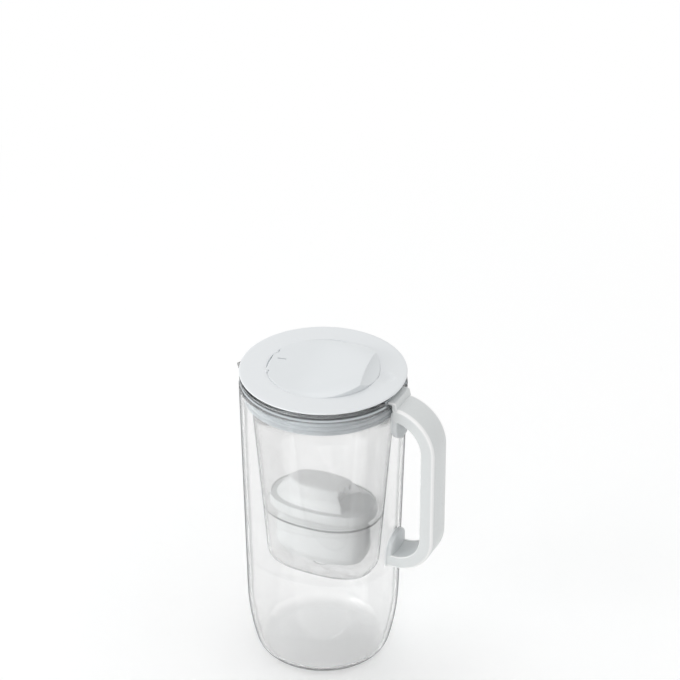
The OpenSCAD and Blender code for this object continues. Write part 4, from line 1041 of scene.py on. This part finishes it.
# %% [markdown]
# ## What is inside
# The frame's own solids stay where nothing covers their shape: the screens, grains and fleece
# in the cartridge, the glue pads and the small parts in the light case. They keep their mesh
# and get real finishes. Woven and loose goods need their own patterns: crossed threads for the
# screens, round cells for the grains, and drawn-out noise for the felt.

# %% Woven and loose goods
# The bands of a Wave Texture of scale 1 are this far apart, so it divides by the thread.
WAVE_PERIOD = 0.314

def woven(name, colour, gap_colour, thread_mm):
    material, tree = new_material(name)
    place = add(tree, "ShaderNodeTexCoord").outputs["Object"]
    waves = [add(tree, "ShaderNodeTexWave", {"Vector": place, "Scale": WAVE_PERIOD / (thread_mm * MM),
                                             "Distortion": 0.0}, bands_direction=way).outputs["Fac"]
             for way in ("X", "Y")]
    weave = add(tree, "ShaderNodeMath", {0: waves[0], 1: waves[1]}, operation="MAXIMUM")
    bump = add(tree, "ShaderNodeBump", {"Strength": 0.6, "Distance": 0.1 * MM, "Height": weave})
    tint = add(tree, "ShaderNodeMix", {0: weave, 6: linear(gap_colour), 7: linear(colour)},
               data_type="RGBA").outputs[2]
    surface = add(tree, "ShaderNodeBsdfPrincipled", {"Base Color": tint, "Roughness": 0.7, "Normal": bump})
    add(tree, "ShaderNodeOutputMaterial", {"Surface": surface})
    return material

def grains(name, first, second, grain_mm):
    material, tree = new_material(name)
    place = add(tree, "ShaderNodeTexCoord").outputs["Object"]
    cells = add(tree, "ShaderNodeTexVoronoi", {"Vector": place, "Scale": 1 / (grain_mm * MM)})
    shade = add(tree, "ShaderNodeMapRange", {0: cells.outputs["Color"], 1: 0.35, 2: 0.65})
    round_top = add(tree, "ShaderNodeMapRange", {0: cells.outputs["Distance"], 1: 0.0, 2: 0.7,
                                                 3: 1.0, 4: 0.0})
    bump = add(tree, "ShaderNodeBump", {"Strength": 0.8, "Distance": 0.4 * MM, "Height": round_top})
    tint = add(tree, "ShaderNodeMix", {0: shade, 6: linear(first), 7: linear(second)},
               data_type="RGBA").outputs[2]
    surface = add(tree, "ShaderNodeBsdfPrincipled", {"Base Color": tint, "Roughness": 0.65, "Normal": bump})
    add(tree, "ShaderNodeOutputMaterial", {"Surface": surface})
    return material

# %% Finishes of the hidden parts
# Polyester screen cloth: threads a little coarser than real, so that the weave shows.
screen_cloth = woven("polyester_screen_woven", "#E2E4E6", "#9EA4A8", 0.8)
# Ion exchange resin and carbon: amber and near-black grains about a millimetre across.
filter_grains = grains("resin_and_carbon_loose_grains", "#3A3833", "#B99A6B", 1.1)
# Polypropylene felt: white, with drawn-out fibres and no gloss. The glue is an acrylic that
# has cured between glass and handle.
felt = moulded("polypropylene_fleece_felted", "#F6F6F1", "#E6E6DF", 0.85, 0.7, 0.15, stretch=(1, 0.15, 1))
bond = moulded("acrylic_adhesive_cured", "#F2F4F5", "#E9ECEE", 0.35, 2.0, 0.03, ior=1.49)
# Metals: the grain of the ground pin and of the rolled brass strip is drawn out along them, so
# their highlight is streaky. The cell's nickel plating is smooth.
pin_steel = moulded("stainless_steel_ground_pin", "#C9CBCD", "#B7BABD", 0.24, 0.4, 0.004, metallic=1.0,
                    stretch=(6, 0.3, 6))
cell_steel = moulded("nickel_plated_steel_stamped", "#CFD0CE", "#BFC0BE", 0.28, 0.8, 0.006, metallic=1.0)
brass = moulded("brass_spring_strip_rolled", "#D9C27E", "#CBB26C", 0.3, 0.6, 0.006, metallic=1.0,
                stretch=(0.3, 4, 1))
# Matt nitrile rubber, a green solder mask over glass epoxy, a clear cast lamp, grey nylon.
rubber = moulded("nitrile_rubber_moulded", "#3B3E40", "#323537", 0.6, 0.6, 0.01, ior=1.52)
board = moulded("glass_epoxy_board_masked", "#2F6B4C", "#255A3F", 0.35, 1.2, 0.02, ior=1.55, flow_mm=3)
lamp = moulded("epoxy_lamp_cast", "#B9F5C6", "#9CEBB0", 0.15, 0.5, 0.004, ior=1.55, glow="#7CF092")
switch = moulded("nylon_switch_moulded", "#46494C", "#3C3F42", 0.5, 0.5, 0.01, ior=1.53)
print("hidden finishes, from", screen_cloth.name, "to", switch.name)

# %% Dress the frame's own solids
kept = {"handle_upper_bond": bond, "handle_lower_bond": bond, "flap_hinge_pin": pin_steel,
        "cartridge_inlet_screen": screen_cloth, "cartridge_outlet_screen": screen_cloth,
        "filter_granules": filter_grains, "cartridge_fleece": felt, "indicator_seal": rubber,
        "indicator_cell": cell_steel, "indicator_contact": brass, "indicator_board": board,
        "indicator_light": lamp, "indicator_switch": switch}
for name, material in kept.items():
    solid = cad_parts[name]
    for place in range(len(solid.data.materials)):
        solid.data.materials[place] = material
print("dressed", len(kept), "solids of the frame")

# %% [markdown]
# ## Floor, world and lamps
# A white ground is a colour, not more light. The floor reflects like pale paper, so shadows
# stay on it, and rays from the camera, from gloss and through glass see a small glow added
# that lifts the bare floor to white. The world does the same: plain soft light for the
# surfaces, white for whoever looks at it.

# %% The world
WORLD_LIGHT, FLOOR_GLOW = 0.78, 0.17

def seen(tree):
    """1 for rays from the camera, off gloss and through glass, 0 for the rest."""
    rays = add(tree, "ShaderNodeLightPath").outputs
    one = add(tree, "ShaderNodeMath", {0: rays["Is Camera Ray"], 1: rays["Is Glossy Ray"]},
              operation="MAXIMUM")
    return add(tree, "ShaderNodeMath", {0: one, 1: rays["Is Transmission Ray"]}, operation="MAXIMUM")

world = bpy.data.worlds.new("soft_studio")
world.use_nodes = True
sky = world.node_tree
sky.nodes.clear()
lit = add(sky, "ShaderNodeBackground", {"Color": WHITE, "Strength": WORLD_LIGHT})
white = add(sky, "ShaderNodeBackground", {"Color": WHITE, "Strength": 1.0})
choice = add(sky, "ShaderNodeMixShader", {0: seen(sky), 1: lit, 2: white})
add(sky, "ShaderNodeOutputWorld", {"Surface": choice})
bpy.context.scene.world = world
print("world light", WORLD_LIGHT)

# %% The sheet of paper
# It fades, far from the jug and past its shadow, into the white of the world behind it.
FADE_FROM, FADE_TO, SHEET_HALF, SHEET_Z = 0.25, 0.9, 6.0, -0.4 * MM
paper, tree = new_material("backdrop_paper_pale")
fibre = pattern(tree, 30)
sheet_colour = add(tree, "ShaderNodeMix", {0: fibre, 6: linear("#F0F1F1"), 7: linear("#F2F2F2")},
                   data_type="RGBA").outputs[2]
diffuse = add(tree, "ShaderNodeBsdfDiffuse", {"Color": sheet_colour})
glow = add(tree, "ShaderNodeEmission", {"Color": WHITE, "Strength": FLOOR_GLOW})
lifted = add(tree, "ShaderNodeAddShader", {0: diffuse, 1: glow})
place = add(tree, "ShaderNodeTexCoord").outputs["Object"]
away = add(tree, "ShaderNodeVectorMath", {0: place}, operation="LENGTH").outputs["Value"]
fade = add(tree, "ShaderNodeMapRange", {0: away, 1: FADE_FROM, 2: FADE_TO})
far_white = add(tree, "ShaderNodeEmission", {"Color": WHITE, "Strength": 1.0})
faded = add(tree, "ShaderNodeMixShader", {0: fade, 1: lifted, 2: far_white})
floor_choice = add(tree, "ShaderNodeMixShader", {0: seen(tree), 1: diffuse, 2: faded})
add(tree, "ShaderNodeOutputMaterial", {"Surface": floor_choice})
print("paper fades between", FADE_FROM, "and", FADE_TO, "m from the jug")

# %% The floor
bm = bmesh.new()
bmesh.ops.create_grid(bm, x_segments=2, y_segments=2, size=SHEET_HALF)
bmesh.ops.translate(bm, verts=bm.verts, vec=(0, 0, SHEET_Z))
floor_mesh = bpy.data.meshes.new("floor")
bm.to_mesh(floor_mesh)
bm.free()
floor_mesh.materials.append(paper)
floor = bpy.data.objects.new("floor", floor_mesh)
bpy.context.scene.collection.objects.link(floor)
print("floor:", 2 * SHEET_HALF, "m wide")

# %% Lamps
def soft_lamp(name, place, target, size, watts):
    data = bpy.data.lights.new(name, "AREA")
    data.shape, data.size, data.energy = "DISK", size, watts
    lamp_object = bpy.data.objects.new(name, data)
    lamp_object.location = place
    lamp_object.rotation_euler = (Vector(target) - Vector(place)).to_track_quat("-Z", "Y").to_euler()
    bpy.context.scene.collection.objects.link(lamp_object)
    print(f"lamp {name}: {watts} W, {size} m across")

soft_lamp("key", (-1.7, -2.2, 0.85), (0, 0, 0.25), 1.6, 26)
soft_lamp("top", (-0.7, 0.3, 2.8), (0, 0, 0.2), 1.6, 9)

# %% [markdown]
# ## The camera
# A long lens from a little above keeps the jug's sides straight. Its distance, height and
# turn place the jug in the lower part of the frame and leave room for the lifted pieces.

# %% Camera
DISTANCE, HEIGHT, AZIMUTH, PITCH = 2.170, 1.563, math.radians(25), 0.536
LENS, SENSOR, SHIFT = 177.93, 36.0, 0.0247
camera_data = bpy.data.cameras.new("camera")
camera_data.lens, camera_data.sensor_width, camera_data.shift_x = LENS, SENSOR, SHIFT
camera = bpy.data.objects.new("camera", camera_data)
camera.location = (DISTANCE * math.sin(AZIMUTH), -DISTANCE * math.cos(AZIMUTH), HEIGHT)
look = Vector((-math.sin(AZIMUTH) * math.cos(PITCH), math.cos(AZIMUTH) * math.cos(PITCH), -math.sin(PITCH)))
camera.rotation_euler = look.to_track_quat("-Z", "Y").to_euler()
bpy.context.scene.collection.objects.link(camera)
bpy.context.scene.camera = camera
bpy.context.scene.view_settings.view_transform = "Standard"
print("camera:", LENS, "mm lens at", [round(v, 3) for v in camera.location])
